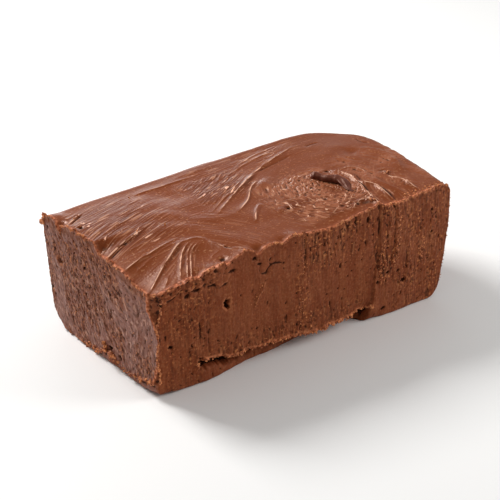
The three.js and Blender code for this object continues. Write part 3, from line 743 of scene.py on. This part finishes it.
# the walls, one column of points under each point of the sheet's rim, with rows that close up a
# little towards the base
rim = [(i, 0) for i in range(COLUMNS_ALONG)]
rim += [(COLUMNS_ALONG, j) for j in range(COLUMNS_ACROSS)]
rim += [(i, COLUMNS_ACROSS) for i in range(COLUMNS_ALONG, 0, -1)]
rim += [(0, j) for j in range(COLUMNS_ACROSS, 0, -1)]
rim = np.array(rim)
rim_x, rim_z = (values[rim[:, 1], rim[:, 0]] for values in (sheet_x, sheet_z))
on_long, on_end = (rim[:, 1] == 0)[:, None], (rim[:, 0] == 0)[:, None]
line = np.where(on_long, foot_line(rim_x)[:, None], CUT_FOOT)
above = np.linspace(0, 1, WALL_ROWS + 1)[1:][None, :]
closing_up = 1.15
below = np.linspace(1, 0, FOOT_ROWS + 1)[1:][None, :] ** closing_up
wall_z = np.hstack([rim_z[:, None] * (1 - above) + line * above, line * below])
wall_u = np.repeat(rim[:, :1] / COLUMNS_ALONG, wall_z.shape[1], 1)
wall_v = np.repeat(rim[:, 1:] / COLUMNS_ACROSS, wall_z.shape[1], 1)
wall_x, wall_y = place(wall_u, wall_v, wall_z, SHOULDER_SHARE + rim_z[:, None] - wall_z)
drop = rim_z[:, None] - wall_z
wall_y = wall_y - burr(wall_x, 110)[0] * bell(drop, 0.7) * on_long
wall_x = wall_x - burr(wall_y, 120)[0] * bell(drop, 0.9) * on_end

# one closed surface: the sheet, the walls and the flat base
surfaces = ((sheet_x, sheet_y, sheet_z), (wall_x, wall_y, wall_z))
points = np.vstack([np.column_stack([part.ravel() for part in surface]) for surface in surfaces])
sheet_ids = np.arange(sheet_x.size).reshape(sheet_x.shape)
sheet_quads = [sheet_ids[:-1, :-1], sheet_ids[:-1, 1:], sheet_ids[1:, 1:], sheet_ids[1:, :-1]]
wall_ids = sheet_x.size + np.arange(wall_x.size).reshape(wall_x.shape)
columns = np.hstack([sheet_ids[rim[:, 1], rim[:, 0]][:, None], wall_ids])
following = np.roll(columns, -1, 0)
wall_quads = [columns[:, 1:], following[:, 1:], following[:, :-1], columns[:, :-1]]
quads = [np.stack(corners, -1).reshape(-1, 4) for corners in (sheet_quads, wall_quads)]
faces = np.vstack(quads).tolist() + [columns[::-1, -1].tolist()]


def averaged(values, cells):
    """Each value of a grid replaced by the average of the values around it."""
    mean = values
    width = 2 * cells + 1
    for axis in (0, 1):
        pad = [(cells + 1, cells) if side == axis else (0, 0) for side in (0, 1)]
        total = np.cumsum(np.pad(mean, pad, mode="edge"), axis)
        count = total.shape[axis]
        after, before = range(width, count), range(count - width)
        mean = (np.take(total, after, axis) - np.take(total, before, axis)) / width
    return mean


# the masks for the finish, each over the sheet and over the walls
no_sheet = np.zeros(sheet_x.shape)
no_wall = np.zeros(wall_x.shape)
cut = (on_long | on_end) * np.ones(wall_x.shape)
end = on_end * np.ones(wall_x.shape)
# the top: where the knife's marks run, its satin off the rims and the worn near corner
flow = knife_flow(sheet_x, sheet_y)
zones = [zone for zone, across, along in flow]
strongest = np.argmax(zones, 0)
flow_across, flow_along = (np.choose(strongest, [zone[part] for zone in flow]) for part in (1, 2))
round_curl, beyond_curl = pulled_up(sheet_x, sheet_y)
off_rims = np.minimum(from_long, from_end)
satin = smooth(from_tray_sides(sheet_x, sheet_y), 0.3, 3.5) * smooth(off_rims, 0.8, 1.8)
satin = satin * (1 - 0.7 * bell(np.hypot(sheet_x - 1, sheet_y - 6), 6))
# the cut end: the blade's slanting marks, wiped patches, and the torn rest over its foot
end_marks = along_drag(wall_y, wall_z)
over_foot = smooth(wall_z - end_foot(wall_y), -0.3, 0.3)
past_fringe = smooth(wall_y - corner_fringe(wall_z), -0.3, 0.5)
wiped = smeared_end(wall_y, wall_z)
# painted sheen: where the cut end gets a grey cast for light grazing it
painted_grey_sheen = past_fringe * over_foot * (1 - 0.6 * smooth(wall_z, 22, 30))
torn_end = 0.66 - 0.56 * wiped + 0.3 * bell(wall_z - 28, 4)
torn_end = torn_end * over_foot * (0.15 + 0.85 * past_fringe)
# the long cut side: torn above the lip, with painted shade in the slot under it
over_lip = np.clip(smooth(wall_z - line, -0.6, 0.2), 1 - 0.8 * lip_share(wall_x), 1)
torn_long = drag_zone(wall_x, wall_z) * over_lip
shade_under_lip = lip_share(wall_x) * (1 - smooth(wall_x, 40, 64)) * bell(wall_z - line + 1.3, 0.8) * on_long
# crumbly edges: under the rims, down the near upright edge and along the lip
edge_off = np.where(end > 0, wall_y - corner_fringe(wall_z), wall_x - corner_cut(0, wall_z))
wall_burr = np.maximum(bell(drop, 0.5), bell(edge_off, 0.45) * smooth(wall_z, 3.5, 5.5))
wall_burr = np.maximum(wall_burr, lip_share(wall_x) * on_long * bell(wall_z - line, 0.6))
sheet_burr = np.maximum(bell(from_long, 0.6), bell(from_end, 0.7))
# what lies lower or stands higher than the surface round it, in millimetres; what lies lower gets
# painted shade
depth = np.where(on_long, wall_y, wall_x) * cut
around = averaged(depth, 4)
# painted shade: darker where the top lies lower than around it
sheet_hollow_shade = (averaged(sheet_z, 4) - sheet_z) * smooth(off_rims, 0.8, 2.4)
wall_raised = averaged(np.minimum(depth, around + 0.1), 3) - depth
masks = {
    "drag_across": (flow_across, np.where(end > 0, end_marks, wall_x + 0.04 * wall_z)),
    "drag_along": (0.4 * flow_along, wall_z * (0.6 + 1.4 * end)),
    "lined": (np.clip(np.max(zones, 0), 0, 1), no_wall),
    "top": (satin, no_wall),
    # painted sheen: a paler tone round the curl for the light off its fine wrinkles
    "pulled": (round_curl + 0.5 * beyond_curl, no_wall),
    # painted glints and painted shade along the knife's marks
    "painted_glint_and_shade": (glint_and_shade_lines(sheet_x, sheet_y), no_wall),
    "cut": (no_sheet, cut),
    # painted sheen: a grey cast over the cut end, stronger on its wiped patches
    "end": (no_sheet, end * painted_grey_sheen),
    "smear": (no_sheet, end * wiped * smooth(drop, 1.5, 4)),
    "torn": (no_sheet, np.where(end > 0, torn_end, torn_long) * cut),
    "moulded": (no_sheet, (1 - cut) * smooth(drop, 0.5, 3)),
    "burr": (sheet_burr, wall_burr * cut),
    "hollow_shade": (sheet_hollow_shade, depth - around + 0.2 * shade_under_lip),
    "raised": (no_sheet, over_lip * wall_raised),
}

# set where the plain solid stands
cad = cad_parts["fudge"]
cad_points = np.array([vertex.co for vertex in cad.data.vertices]) / MM
cad_right = cad_points[:, 0].max()
cad_back = cad_points[cad_points[:, 0] > 0, 1].max()
origin = np.array([cad_right - (LENGTH + FAR_END_BULGE), cad_back - WIDTH, 0])


def add_piece(name, corners, faces):
    """Makes a piece from its faces and its corners in millimetres from the near corner."""
    mesh = bpy.data.meshes.new(name)
    mesh.from_pydata(((corners + origin) * MM).tolist(), [], faces)
    piece = bpy.data.objects.new(name, mesh)
    bpy.context.scene.collection.objects.link(piece)
    return piece


block = add_piece("fudge_block", points, faces)
block.data.shade_smooth()
for name, parts in masks.items():
    values = np.concatenate([part.ravel() for part in parts])
    mask = block.data.attributes.new(name, "FLOAT", "POINT")
    mask.data.foreach_set("value", values.astype(np.float32))


def hex_colour(text):
    """An sRGB hex colour as linear light, with alpha."""
    channels = [int(text[k : k + 2], 16) / 255 for k in (1, 3, 5)]
    return [c / 12.92 if c < 0.04045 else ((c + 0.055) / 1.055) ** 2.4 for c in channels] + [1]


def new_finish(name):
    """A material with no nodes yet."""
    finish = bpy.data.materials.new(name)
    finish.use_nodes = True
    finish.node_tree.nodes.clear()
    return finish


def node(tree, kind, inputs=None, **settings):
    """Adds a node with its settings, and gives its sockets values or links from other nodes."""
    made = tree.nodes.new(kind)
    for name, value in settings.items():
        setattr(made, name, value)
    for name, value in (inputs or {}).items():
        named = [socket for socket in made.inputs if socket.enabled and socket.name == name]
        socket = named[0] if named else made.inputs[name]
        if isinstance(value, bpy.types.Node):
            value = [output for output in value.outputs if output.enabled][0]
        if isinstance(value, bpy.types.NodeSocket):
            tree.links.new(value, socket)
        else:
            socket.default_value = value
    return made


# Boiled chocolate fudge: fine sugar crystals in butterfat. Fat drawn up by the knife gives the top
# a satin sheen. The cut sides are duller, wiped smooth where the blade pressed, with dark pores and
# dry orange-brown crumb where it tore. The paler grey-brown over the cut end, most on its wiped
# patches, is painted sheen.
fudge_finish = new_finish("knife-worked chocolate fudge")
tree = fudge_finish.node_tree
masked = {}
for name in masks:
    masked[name] = node(tree, "ShaderNodeAttribute", attribute_name=name).outputs["Fac"]
place_in_m = node(tree, "ShaderNodeTexCoord").outputs["Object"]
in_mm = node(tree, "ShaderNodeMapping", {"Vector": place_in_m, "Scale": [1 / MM] * 3})
# marks along the drag of the blade are five times as long as they are wide
shrink = {0: masked["drag_along"], 1: 1 / 5}
drag_along = node(tree, "ShaderNodeMath", shrink, operation="MULTIPLY")
drawn_out = node(tree, "ShaderNodeCombineXYZ", {"X": masked["drag_across"], "Y": drag_along})
# each pattern: what it lies on, the size of its spots in millimetres, and layers of detail. Real
# sugar crystals are 0.02 to 0.05 mm, too fine to show, so the sugar is drawn ten times as coarse.
patterns = {}
for name, lies_on, size, detail in (
    ("blotches", in_mm, 9.1, 2),
    ("mottling", in_mm, 1.333, 3),
    ("flecks", in_mm, 0.8, 0),
    ("sugar", in_mm, 0.5556, 0),
    ("drag", drawn_out, 0.588, 0),
    ("dashes", drawn_out, 0.714, 0),
    ("bands", drawn_out, 3.333, 2),
):
    spots = {"Vector": lies_on, "Scale": 1 / size, "Detail": detail}
    patterns[name] = node(tree, "ShaderNodeTexNoise", spots)
# sharp crests, about 1.25 mm apart, that the knife's edge left along its path
knife_crests = node(
    tree,
    "ShaderNodeTexNoise",
    {"Vector": drawn_out, "Scale": 1 / 1.25, "Detail": 0, "Gain": 1.2},
    noise_type="RIDGED_MULTIFRACTAL",
    normalize=True,
)

# coats from the plain fudge up: pattern or mask, where it starts and is full, how strong it is,
# the mask that limits it, its colour and its roughness
COATS = [
    # the fudge all through
    (patterns["blotches"], 0.38, 0.62, 0.8, None, "#814226", 0.6),
    (patterns["mottling"], 0.45, 0.7, 0.3, None, "#8C5234", 0.62),
    (patterns["sugar"], 0.6, 0.64, 0.2, None, "#44200F", 0.7),
    (patterns["sugar"], 0.36, 0.32, 0.2, None, "#A06C4C", 0.6),
    # the top
    (masked["top"], 0, 1, 0.7, None, "#783816", 0.2),
    (patterns["flecks"], 0.71, 0.74, 0.35, masked["top"], "#C08860", 0.4),
    (masked["lined"], 0.2, 1, 0.35, None, "#5E280E", 0.28),
    # painted sheen: a paler tone round the curl for the light off its fine wrinkles
    (masked["pulled"], 0, 1, 0.6, None, "#AC6A4C", 0.25),
    # pale and dark streaks along the knife's marks: painted glints and painted shade
    (patterns["drag"], 0.63, 0.68, 0.4, masked["lined"], "#D89C78", 0.25),
    (patterns["drag"], 0.4, 0.34, 0.4, masked["lined"], "#5C2408", 0.35),
    # painted glints along the knife's marks, and painted shade in their grooves and beside the
    # glints
    (masked["painted_glint_and_shade"], 0.2, 0.7, 0.9, None, "#F0BA9C", 0.28),
    (masked["painted_glint_and_shade"], -0.15, -0.8, 0.6, None, "#581F06", 0.35),
    # the moulded sides
    (masked["moulded"], 0, 1, 0.75, None, "#6A3A2C", 0.42),
    # the cut sides
    (patterns["bands"], 0.48, 0.62, 0.3, masked["cut"], "#642C16", 0.6),
    (patterns["bands"], 0.46, 0.36, 0.2, masked["cut"], "#8E5230", 0.6),
    (patterns["drag"], 0.61, 0.65, 0.6, masked["torn"], "#4A1C0C", 0.7),
    # painted sheen: a grey cast over the cut end, stronger on its wiped patches
    (masked["end"], 0, 1, 0.45, None, "#86584A", 0.5),
    (masked["smear"], 0, 1, 0.4, None, "#8E6860", 0.4),
    (patterns["dashes"], 0.63, 0.67, 0.6, masked["end"], "#BC8E7A", 0.45),
    (patterns["dashes"], 0.38, 0.33, 0.5, masked["end"], "#4A281A", 0.6),
    (patterns["dashes"], 0.65, 0.68, 0.4, masked["torn"], "#A86E48", 0.75),
    (patterns["dashes"], 0.35, 0.32, 0.8, masked["torn"], "#34160A", 0.8),
    (patterns["flecks"], 0.69, 0.72, 0.8, masked["torn"], "#C67C4A", 0.75),
    (patterns["flecks"], 0.35, 0.32, 0.9, masked["torn"], "#321408", 0.8),
    (masked["raised"], 0.1, 0.28, 0.55, None, "#B8704A", 0.75),
    # the crumbly edges, flecked with painted highlights on their knobs and painted shade between
    # them, and the pits
    (masked["burr"], 0.1, 0.8, 0.9, None, "#B4623E", 0.5),
    (patterns["flecks"], 0.54, 0.62, 0.6, masked["burr"], "#E4946C", 0.5),
    (patterns["flecks"], 0.42, 0.36, 0.7, masked["burr"], "#4A2012", 0.75),
    # painted shade in the pits, the hollows and the slot under the lip
    (masked["hollow_shade"], 0.05, 0.26, 0.9, None, "#280E06", 0.8),
]
colour, roughness = hex_colour("#78381C"), 0.6
for pattern, start, full, strength, limit, tint, dullness in COATS:
    span = {"Value": pattern, "From Min": start, "From Max": full, "To Max": strength}
    share = node(tree, "ShaderNodeMapRange", span, interpolation_type="SMOOTHSTEP")
    if limit:
        share = node(tree, "ShaderNodeMath", {0: share, 1: limit}, operation="MULTIPLY")
    tinted = {"Factor": share, "A": colour, "B": hex_colour(tint)}
    colour = node(tree, "ShaderNodeMix", tinted, data_type="RGBA")
    roughness = node(tree, "ShaderNodeMix", {"Factor": share, "A": roughness, "B": dullness})

# relief too fine for the mesh: sugar grain all over, and the blade's marks where it passed
SUGAR_DEPTH = 0.06 * MM
MARK_DEPTH = 0.2 * MM
grained = node(tree, "ShaderNodeBump", {"Height": patterns["sugar"], "Distance": SUGAR_DEPTH})
marks = node(tree, "ShaderNodeMath", {0: patterns["drag"], 1: knife_crests}, operation="ADD")
half_cut = node(tree, "ShaderNodeMath", {0: masked["cut"], 1: 0.5}, operation="MULTIPLY")
scored = node(tree, "ShaderNodeMath", {0: masked["lined"], 1: half_cut}, operation="ADD")
deep = node(tree, "ShaderNodeMath", {0: marks, 1: scored}, operation="MULTIPLY")
dragged = node(tree, "ShaderNodeBump", {"Height": deep, "Distance": MARK_DEPTH, "Normal": grained})
# butterfat warms the light that it throws back
FAT_SHEEN = hex_colour("#FFC4A0")
fudge = {"Base Color": colour, "Roughness": roughness, "Normal": dragged}
fudge.update({"Specular IOR Level": 0.3, "Specular Tint": FAT_SHEEN})
shader = node(tree, "ShaderNodeBsdfPrincipled", fudge)
node(tree, "ShaderNodeOutputMaterial", {"Surface": shader})
block.data.materials.append(fudge_finish)
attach(block, "root")
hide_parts("fudge")


# The curl
# A roll of soft fudge that lifted behind the knife and stuck where it fell. Its head is rounded,
# and it runs out into a few strands that lie down in the top.
CURL_PATH = [(74.4, 27.8), (75.6, 26.8), (76.2, 24.8), (76.9, 23), (78.6, 21.6), (79.6, 19.4)]
CURL_PATH += [(79.2, 16.8), (78.4, 14.4), (78.2, 12)]
CURL_SHARES = [0, 0.05, 0.12, 0.27, 0.4, 0.55, 0.7, 0.85, 1]
CURL_HALF_WIDTHS = [0.3, 1.2, 1.4, 0.85, 1.1, 1.7, 1.5, 0.9, 0.3]
CURL_HALF_HEIGHTS = [0.2, 1, 1.25, 0.95, 1.1, 1.3, 1, 0.5, 0.1]
CURL_RINGS = 120
CURL_SEGMENTS = 48
STRANDS = 5
top_points = points[: sheet_x.size]


def level_near(x, y):
    """The height of the top sheet near a place."""
    return top_points[np.argmin(np.hypot(top_points[:, 0] - x, top_points[:, 1] - y)), 2]


spine = curve_through(CURL_PATH, CURL_RINGS - 1)
share = np.linspace(0, 1, CURL_RINGS)
half_width = np.interp(share, CURL_SHARES, CURL_HALF_WIDTHS)
half_height = np.interp(share, CURL_SHARES, CURL_HALF_HEIGHTS)
levels = np.array([level_near(x, y) for x, y in spine])
levels = np.convolve(np.pad(levels, 6, mode="edge"), np.ones(13) / 13, mode="valid")
heading = np.gradient(spine, axis=0)
heading /= np.linalg.norm(heading, axis=1)[:, None]
turn = np.linspace(0, 2 * np.pi, CURL_SEGMENTS, endpoint=False)
strands = 0.16 * np.cos(STRANDS * turn + 7 * share[:, None]) - 0.05
strands = smooth(share, 0.45, 0.8)[:, None] * strands
uneven = 0.05 * grain(share[:, None] * 14, turn[None, :] * 2 * np.ones((CURL_RINGS, 1)), 140)
swell = 1 + strands + uneven
sideways = half_width[:, None] * np.cos(turn) * swell
upward = half_height[:, None] * np.sin(turn) * swell
curl_x = spine[:, :1] + heading[:, 1:] * sideways
curl_y = spine[:, 1:] - heading[:, :1] * sideways
curl_z = (levels + 0.6 * half_height)[:, None] + upward
curl_points = np.stack([curl_x, curl_y, curl_z], -1).reshape(-1, 3)
ring_ids = np.arange(curl_x.size).reshape(curl_x.shape)
next_ids = np.roll(ring_ids, -1, 1)
curl_quads = np.stack([ring_ids[:-1], next_ids[:-1], next_ids[1:], ring_ids[1:]], -1).reshape(-1, 4)
curl_ends = [ring_ids[0, ::-1].tolist(), ring_ids[-1].tolist()]
curl = add_piece("fudge_curl", curl_points, curl_quads.tolist() + curl_ends)
curl.data.shade_smooth()

# The same fudge pressed dense and greasy under the blade: darker, with a wetter sheen, in patches
# of 1.1 mm.
PATCH_SIZE = 1.111 * MM
PATCH_DEPTH = 0.04 * MM
curl_finish = new_finish("pressed chocolate fudge")
tree = curl_finish.node_tree
in_m = node(tree, "ShaderNodeTexCoord").outputs["Object"]
streaks = node(tree, "ShaderNodeTexNoise", {"Vector": in_m, "Scale": 1 / PATCH_SIZE, "Detail": 2})
tone = {"Factor": streaks, "A": hex_colour("#50261C"), "B": hex_colour("#6C3A2A")}
pressed = node(tree, "ShaderNodeMix", tone, data_type="RGBA")
fine = node(tree, "ShaderNodeBump", {"Height": streaks, "Distance": PATCH_DEPTH})
pressed_fudge = {"Base Color": pressed, "Roughness": 0.42, "Normal": fine}
pressed_fudge.update({"IOR": 1.4, "Specular Tint": FAT_SHEEN})
shader = node(tree, "ShaderNodeBsdfPrincipled", pressed_fudge)
node(tree, "ShaderNodeOutputMaterial", {"Surface": shader})
curl.data.materials.append(curl_finish)
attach(curl, "root")


# Crumbs
# Dry bits that broke off under the knife and stuck: along both cut rims, down the near upright
# edge, under the lip, at the foot of the cut end, and here and there on the sides and the top.
def bumpy_ball():
    """A unit ball of 80 triangles: an icosahedron with each face split in four."""
    gold = (1 + math.sqrt(5)) / 2
    corners = [(-1, gold, 0), (1, gold, 0), (-1, -gold, 0), (1, -gold, 0)]
    corners += [(z, x, y) for x, y, z in corners] + [(y, z, x) for x, y, z in corners]
    corners = [np.array(corner) / np.hypot(1, gold) for corner in corners]
    side = 2 / np.hypot(1, gold)
    split = []
    middles = {}

    def middle(a, b):
        key = (min(a, b), max(a, b))
        if key not in middles:
            between = corners[a] + corners[b]
            corners.append(between / np.linalg.norm(between))
            middles[key] = len(corners) - 1
        return middles[key]

    reach = 1.01 * side
    near = []
    for a in range(12):
        apart = [np.linalg.norm(corners[a] - corner) for corner in corners[:12]]
        near.append([b for b in range(12) if 0 < apart[b] < reach])
    for a in range(12):
        for b in near[a]:
            for c in near[a]:
                facing = np.cross(corners[b] - corners[a], corners[c] - corners[a])
                if a < b and a < c and c in near[b] and np.dot(facing, corners[a]) > 0:
                    ab, bc, ca = middle(a, b), middle(b, c), middle(c, a)
                    split += [(a, ab, ca), (ab, b, bc), (ca, bc, c), (ab, bc, ca)]
    return np.array(corners), np.array(split)


ball, ball_faces = bumpy_ball()
draw = np.random.default_rng(150)
wall_points = points[sheet_x.size :].reshape(wall_x.shape + (3,))
long_columns, end_columns = np.flatnonzero(on_long), np.flatnonzero(on_end)
crumb_places = []


def drop_crumbs(spots, smallest, largest):
    """Sets a crumb at each spot, most of them nearer the smallest size."""
    for spot in spots:
        size = smallest + (largest - smallest) * draw.uniform() ** 3
        crumb_places.append((np.array(spot), size))


def clumped(along, seed):
    """Whether a crumb falls here: they gather in clumps along an edge."""
    gathered = grain(along / 5, 0, seed) + 0.5 * grain(along / 1.5, 0, seed + 1)
    return gathered > draw.uniform(-0.9, 0.9)


def along_rim(columns, count, axis, seed):
    """Spots in clumps along a cut rim."""
    picked = draw.choice(columns, count)
    spots = [points[sheet_ids[rim[k, 1], rim[k, 0]]] + draw.normal(0, 0.14, 3) for k in picked]
    return [spot for spot in spots if clumped(spot[axis], seed)]


drop_crumbs(along_rim(long_columns, 560, 0, 151), 0.12, 0.45)
drop_crumbs(along_rim(end_columns, 320, 1, 153), 0.12, 0.45)
right_rim = long_columns[rim_x[long_columns] > 83]
for k in draw.choice(right_rim, 110):
    drop_crumbs([points[sheet_ids[draw.integers(0, 12), rim[k, 0]]]], 0.12, 0.4)
# on the torn knob at the far corner of the cut end
knob = [(0.5, 59.5, 33.6) + draw.normal(0, 0.5, 3) * (0.5, 0.6, 1.4) for _ in range(14)]
drop_crumbs(knob, 0.3, 0.6)
drop_crumbs([(0.6, 59.6, 34.1), (0.1, 59.8, 32.2)], 1, 1.2)
# down the near upright edge and the far one
for column, count, largest in ((long_columns[1], 300, 0.36), (long_columns[-1], 70, 0.26)):
    rows = draw.integers(8, WALL_ROWS, count)
    drop_crumbs([wall_points[column, row] + draw.normal(0, 0.1, 3) for row in rows], 0.1, largest)
# under the lip
over_recess = long_columns[(rim_x[long_columns] > LIP_FROM) & (rim_x[long_columns] < LIP_TO)]
picked = [k for k in draw.choice(over_recess, 600) if clumped(rim_x[k], 157)]
drop_crumbs([wall_points[k, WALL_ROWS - 1] + draw.normal(0, 0.2, 3) for k in picked], 0.15, 0.5)
# on the torn parts of the cut sides
for columns, count in ((long_columns, 600), (end_columns, 600)):
    for k in draw.choice(columns, count):
        spot = wall_points[k, draw.integers(2, WALL_ROWS - 4)]
        if columns is long_columns:
            zone = drag_zone(spot[0], spot[2])
        else:
            zone = 0.2 + 0.8 * porous_end(spot[1], spot[2])
        if draw.uniform() < 0.4 * zone:
            drop_crumbs([spot], 0.06, 0.24)
# in streaks down the long side: place along, top and bottom, and how many
STREAKS = [(85.1, 33, 15, 90), (79.2, 26, 12, 40), (50.5, 32, 8, 60), (95, 22, 14, 40)]
STREAKS += [(54, 12, 6, 24), (35.6, 26, 22, 10), (34.4, 22, 18, 10)]
for at, high, low, count in STREAKS:
    for _ in range(count):
        column = long_columns[np.argmin(np.abs(rim_x[long_columns] - draw.normal(at, 0.5)))]
        row = int((HEIGHT - draw.uniform(low, high)) / (HEIGHT - CUT_FOOT) * WALL_ROWS)
        drop_crumbs([wall_points[column, row]], 0.1, 0.34)
# at the foot of the cut end, with a few lumps
for y in draw.uniform(0.5, 40, 330):
    if clumped(y, 155) or 23 < y < 30:
        drop_crumbs([(-0.2, y, end_foot(y)) + draw.normal(0, 0.4, 3) * (0.4, 0, 1)], 0.12, 0.5)
for y, z in ((27.5, 4.6), (27, 5.2), (26.4, 4.4), (23.6, 3.6), (21.4, 3.4), (31, 1.6)):
    drop_crumbs([(-0.3, y, z) + draw.normal(0, 0.4, 3) for _ in range(6)], 0.2, 0.55)
drop_crumbs([(-0.4, 27.4, 5.9), (-0.4, 26.6, 5.2), (-0.3, 24, 3.9)], 0.7, 0.8)
# on the top
for x, y, size in (
    (22.2, 28, 0.35),
    (13.5, 29.1, 0.32),
    (14.6, 29.3, 0.22),
    (24.6, 51.2, 0.28),
    (95.9, 16.9, 0.5),
    (95.2, 16.6, 0.32),
    (77.6, 3.1, 0.55),
    (78, 2.2, 0.4),
    (4.6, 49.2, 0.3),
    (6.4, 50.4, 0.26),
    (3, 42.6, 0.25),
):
    drop_crumbs([(x, y, level_near(x, y) + size * 0.4)], size, size)
for k in draw.choice(len(top_points), 320):
    if 0.5 < top_points[k, 1] and from_tray_sides(*top_points[k, :2]) > 3:
        drop_crumbs([top_points[k]], 0.05, 0.13)

crumb_points, crumb_faces = [], []
for number, (spot, size) in enumerate(crumb_places):
    stretch = size * draw.uniform(0.6, 1.2, 3)
    lumps = 1 + draw.uniform(-0.28, 0.28, (len(ball), 1))
    spin = np.linalg.qr(draw.normal(0, 1, (3, 3)))[0]
    spin = spin * np.sign(np.linalg.det(spin))
    bit = (ball * lumps * stretch) @ spin.T + spot
    bit[:, 2] = np.clip(bit[:, 2], 0.02, None)
    crumb_points.append(bit)
    crumb_faces.append(ball_faces + number * len(ball))
crumbs = add_piece("fudge_crumbs", np.vstack(crumb_points), np.vstack(crumb_faces).tolist())

# Dried fudge crumb: the sugar shows, so it is dull, and lighter and more orange than the block. The
# tone changes over 0.8 mm, so each crumb has about one of its own.
TONE_SIZE = 0.769 * MM
crumb_finish = new_finish("dry fudge crumb")
tree = crumb_finish.node_tree
in_m = node(tree, "ShaderNodeTexCoord").outputs["Object"]
kinds = node(tree, "ShaderNodeTexNoise", {"Vector": in_m, "Scale": 1 / TONE_SIZE, "Detail": 1})
contrast = node(tree, "ShaderNodeMapRange", {"Value": kinds, "From Min": 0.35, "From Max": 0.65})
tone = {"Factor": contrast, "A": hex_colour("#8C4628"), "B": hex_colour("#E09058")}
crumb_tone = node(tree, "ShaderNodeMix", tone, data_type="RGBA")
dry = {"Base Color": crumb_tone, "Roughness": 0.7, "IOR": 1.46}
shader = node(tree, "ShaderNodeBsdfPrincipled", dry)
node(tree, "ShaderNodeOutputMaterial", {"Surface": shader})
crumbs.data.materials.append(crumb_finish)
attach(crumbs, "root")


# The floor
# A flat board six metres across, painted matt and pale, that the block stands on. It runs well past
# the frame, so that no edge of it shows.
HALF_FLOOR = 3000
floor_corners = [(-1, -1, 0), (1, -1, 0), (1, 1, 0), (-1, 1, 0)]
floor = add_piece("floor", HALF_FLOOR * np.array(floor_corners) - origin, [(0, 1, 2, 3)])
# Water-based wall paint, rolled on: an even off-white that scatters the light.
floor_finish = new_finish("matt white paint")
tree = floor_finish.node_tree
paint = {"Base Color": hex_colour("#F2F1EF"), "Roughness": 0.6}
shader = node(tree, "ShaderNodeBsdfPrincipled", paint)
node(tree, "ShaderNodeOutputMaterial", {"Surface": shader})
floor.data.materials.append(floor_finish)


# The light
# A white room, a large soft box high at the back, a low one behind for the sheen on the top, and a
# weak one at the front right that rakes the long cut side.
world = bpy.data.worlds.new("white room")
bpy.context.scene.world = world
world.use_nodes = True
room = world.node_tree.nodes["Background"]
room.inputs["Color"].default_value = (1, 1, 1, 1)
room.inputs["Strength"].default_value = 0.36
AIM = Vector((0, 0, 15)) * MM
for name, stands_at, sides, power in (
    ("key_soft_box", (-130, 450, 400), (220, 220), 4.2),
    ("sheen_soft_box", (259, 582, 110), (240, 60), 0.25),
    ("fill_soft_box", (440, -330, 300), (300, 300), 1.7),
):
    lamp = bpy.data.lights.new(name, "AREA")
    lamp.shape = "RECTANGLE"
    lamp.size, lamp.size_y = (side * MM for side in sides)
    lamp.energy = power
    holder = bpy.data.objects.new(name, lamp)
    holder.location = Vector(stands_at) * MM
    holder.rotation_euler = (AIM - holder.location).to_track_quat("-Z", "Y").to_euler()
    bpy.context.scene.collection.objects.link(holder)


# The camera
# A long lens from the near left, looking down over the near corner. Its place, aim and focal length
# were fitted to the block's outline, its rims and its upright edges in the photo.
FOCAL_PIXELS = 1529
FRAME_PIXELS = 500
SENSOR = 36
PITCH, TURN, ROLL = (math.radians(angle) for angle in (25.71, -35.67, -0.92))
TARGET = np.array([52.5, 27, 17.2])
SHIFT_RIGHT, SHIFT_UP, DISTANCE = -1.2, 2.4, 458.3
flat = math.cos(PITCH)
away = np.array([math.sin(TURN) * flat, -math.cos(TURN) * flat, math.sin(PITCH)])
level = np.array([math.cos(TURN), math.sin(TURN), 0])
upright = np.cross(away, level)
right = level * math.cos(ROLL) + upright * math.sin(ROLL)
up = upright * math.cos(ROLL) - level * math.sin(ROLL)
eye = TARGET + SHIFT_RIGHT * right + SHIFT_UP * up + DISTANCE * away + origin
lens = bpy.data.cameras.new("camera")
lens.sensor_width = SENSOR
lens.lens = SENSOR * FOCAL_PIXELS / FRAME_PIXELS
lens.clip_start = 0.01
camera = bpy.data.objects.new("camera", lens)
turned = Matrix(np.column_stack([right, up, away]).tolist()).to_4x4()
camera.matrix_world = Matrix.Translation(Vector(eye * MM)) @ turned
bpy.context.scene.collection.objects.link(camera)
bpy.context.scene.camera = camera
bpy.context.scene.view_settings.view_transform = "Standard"
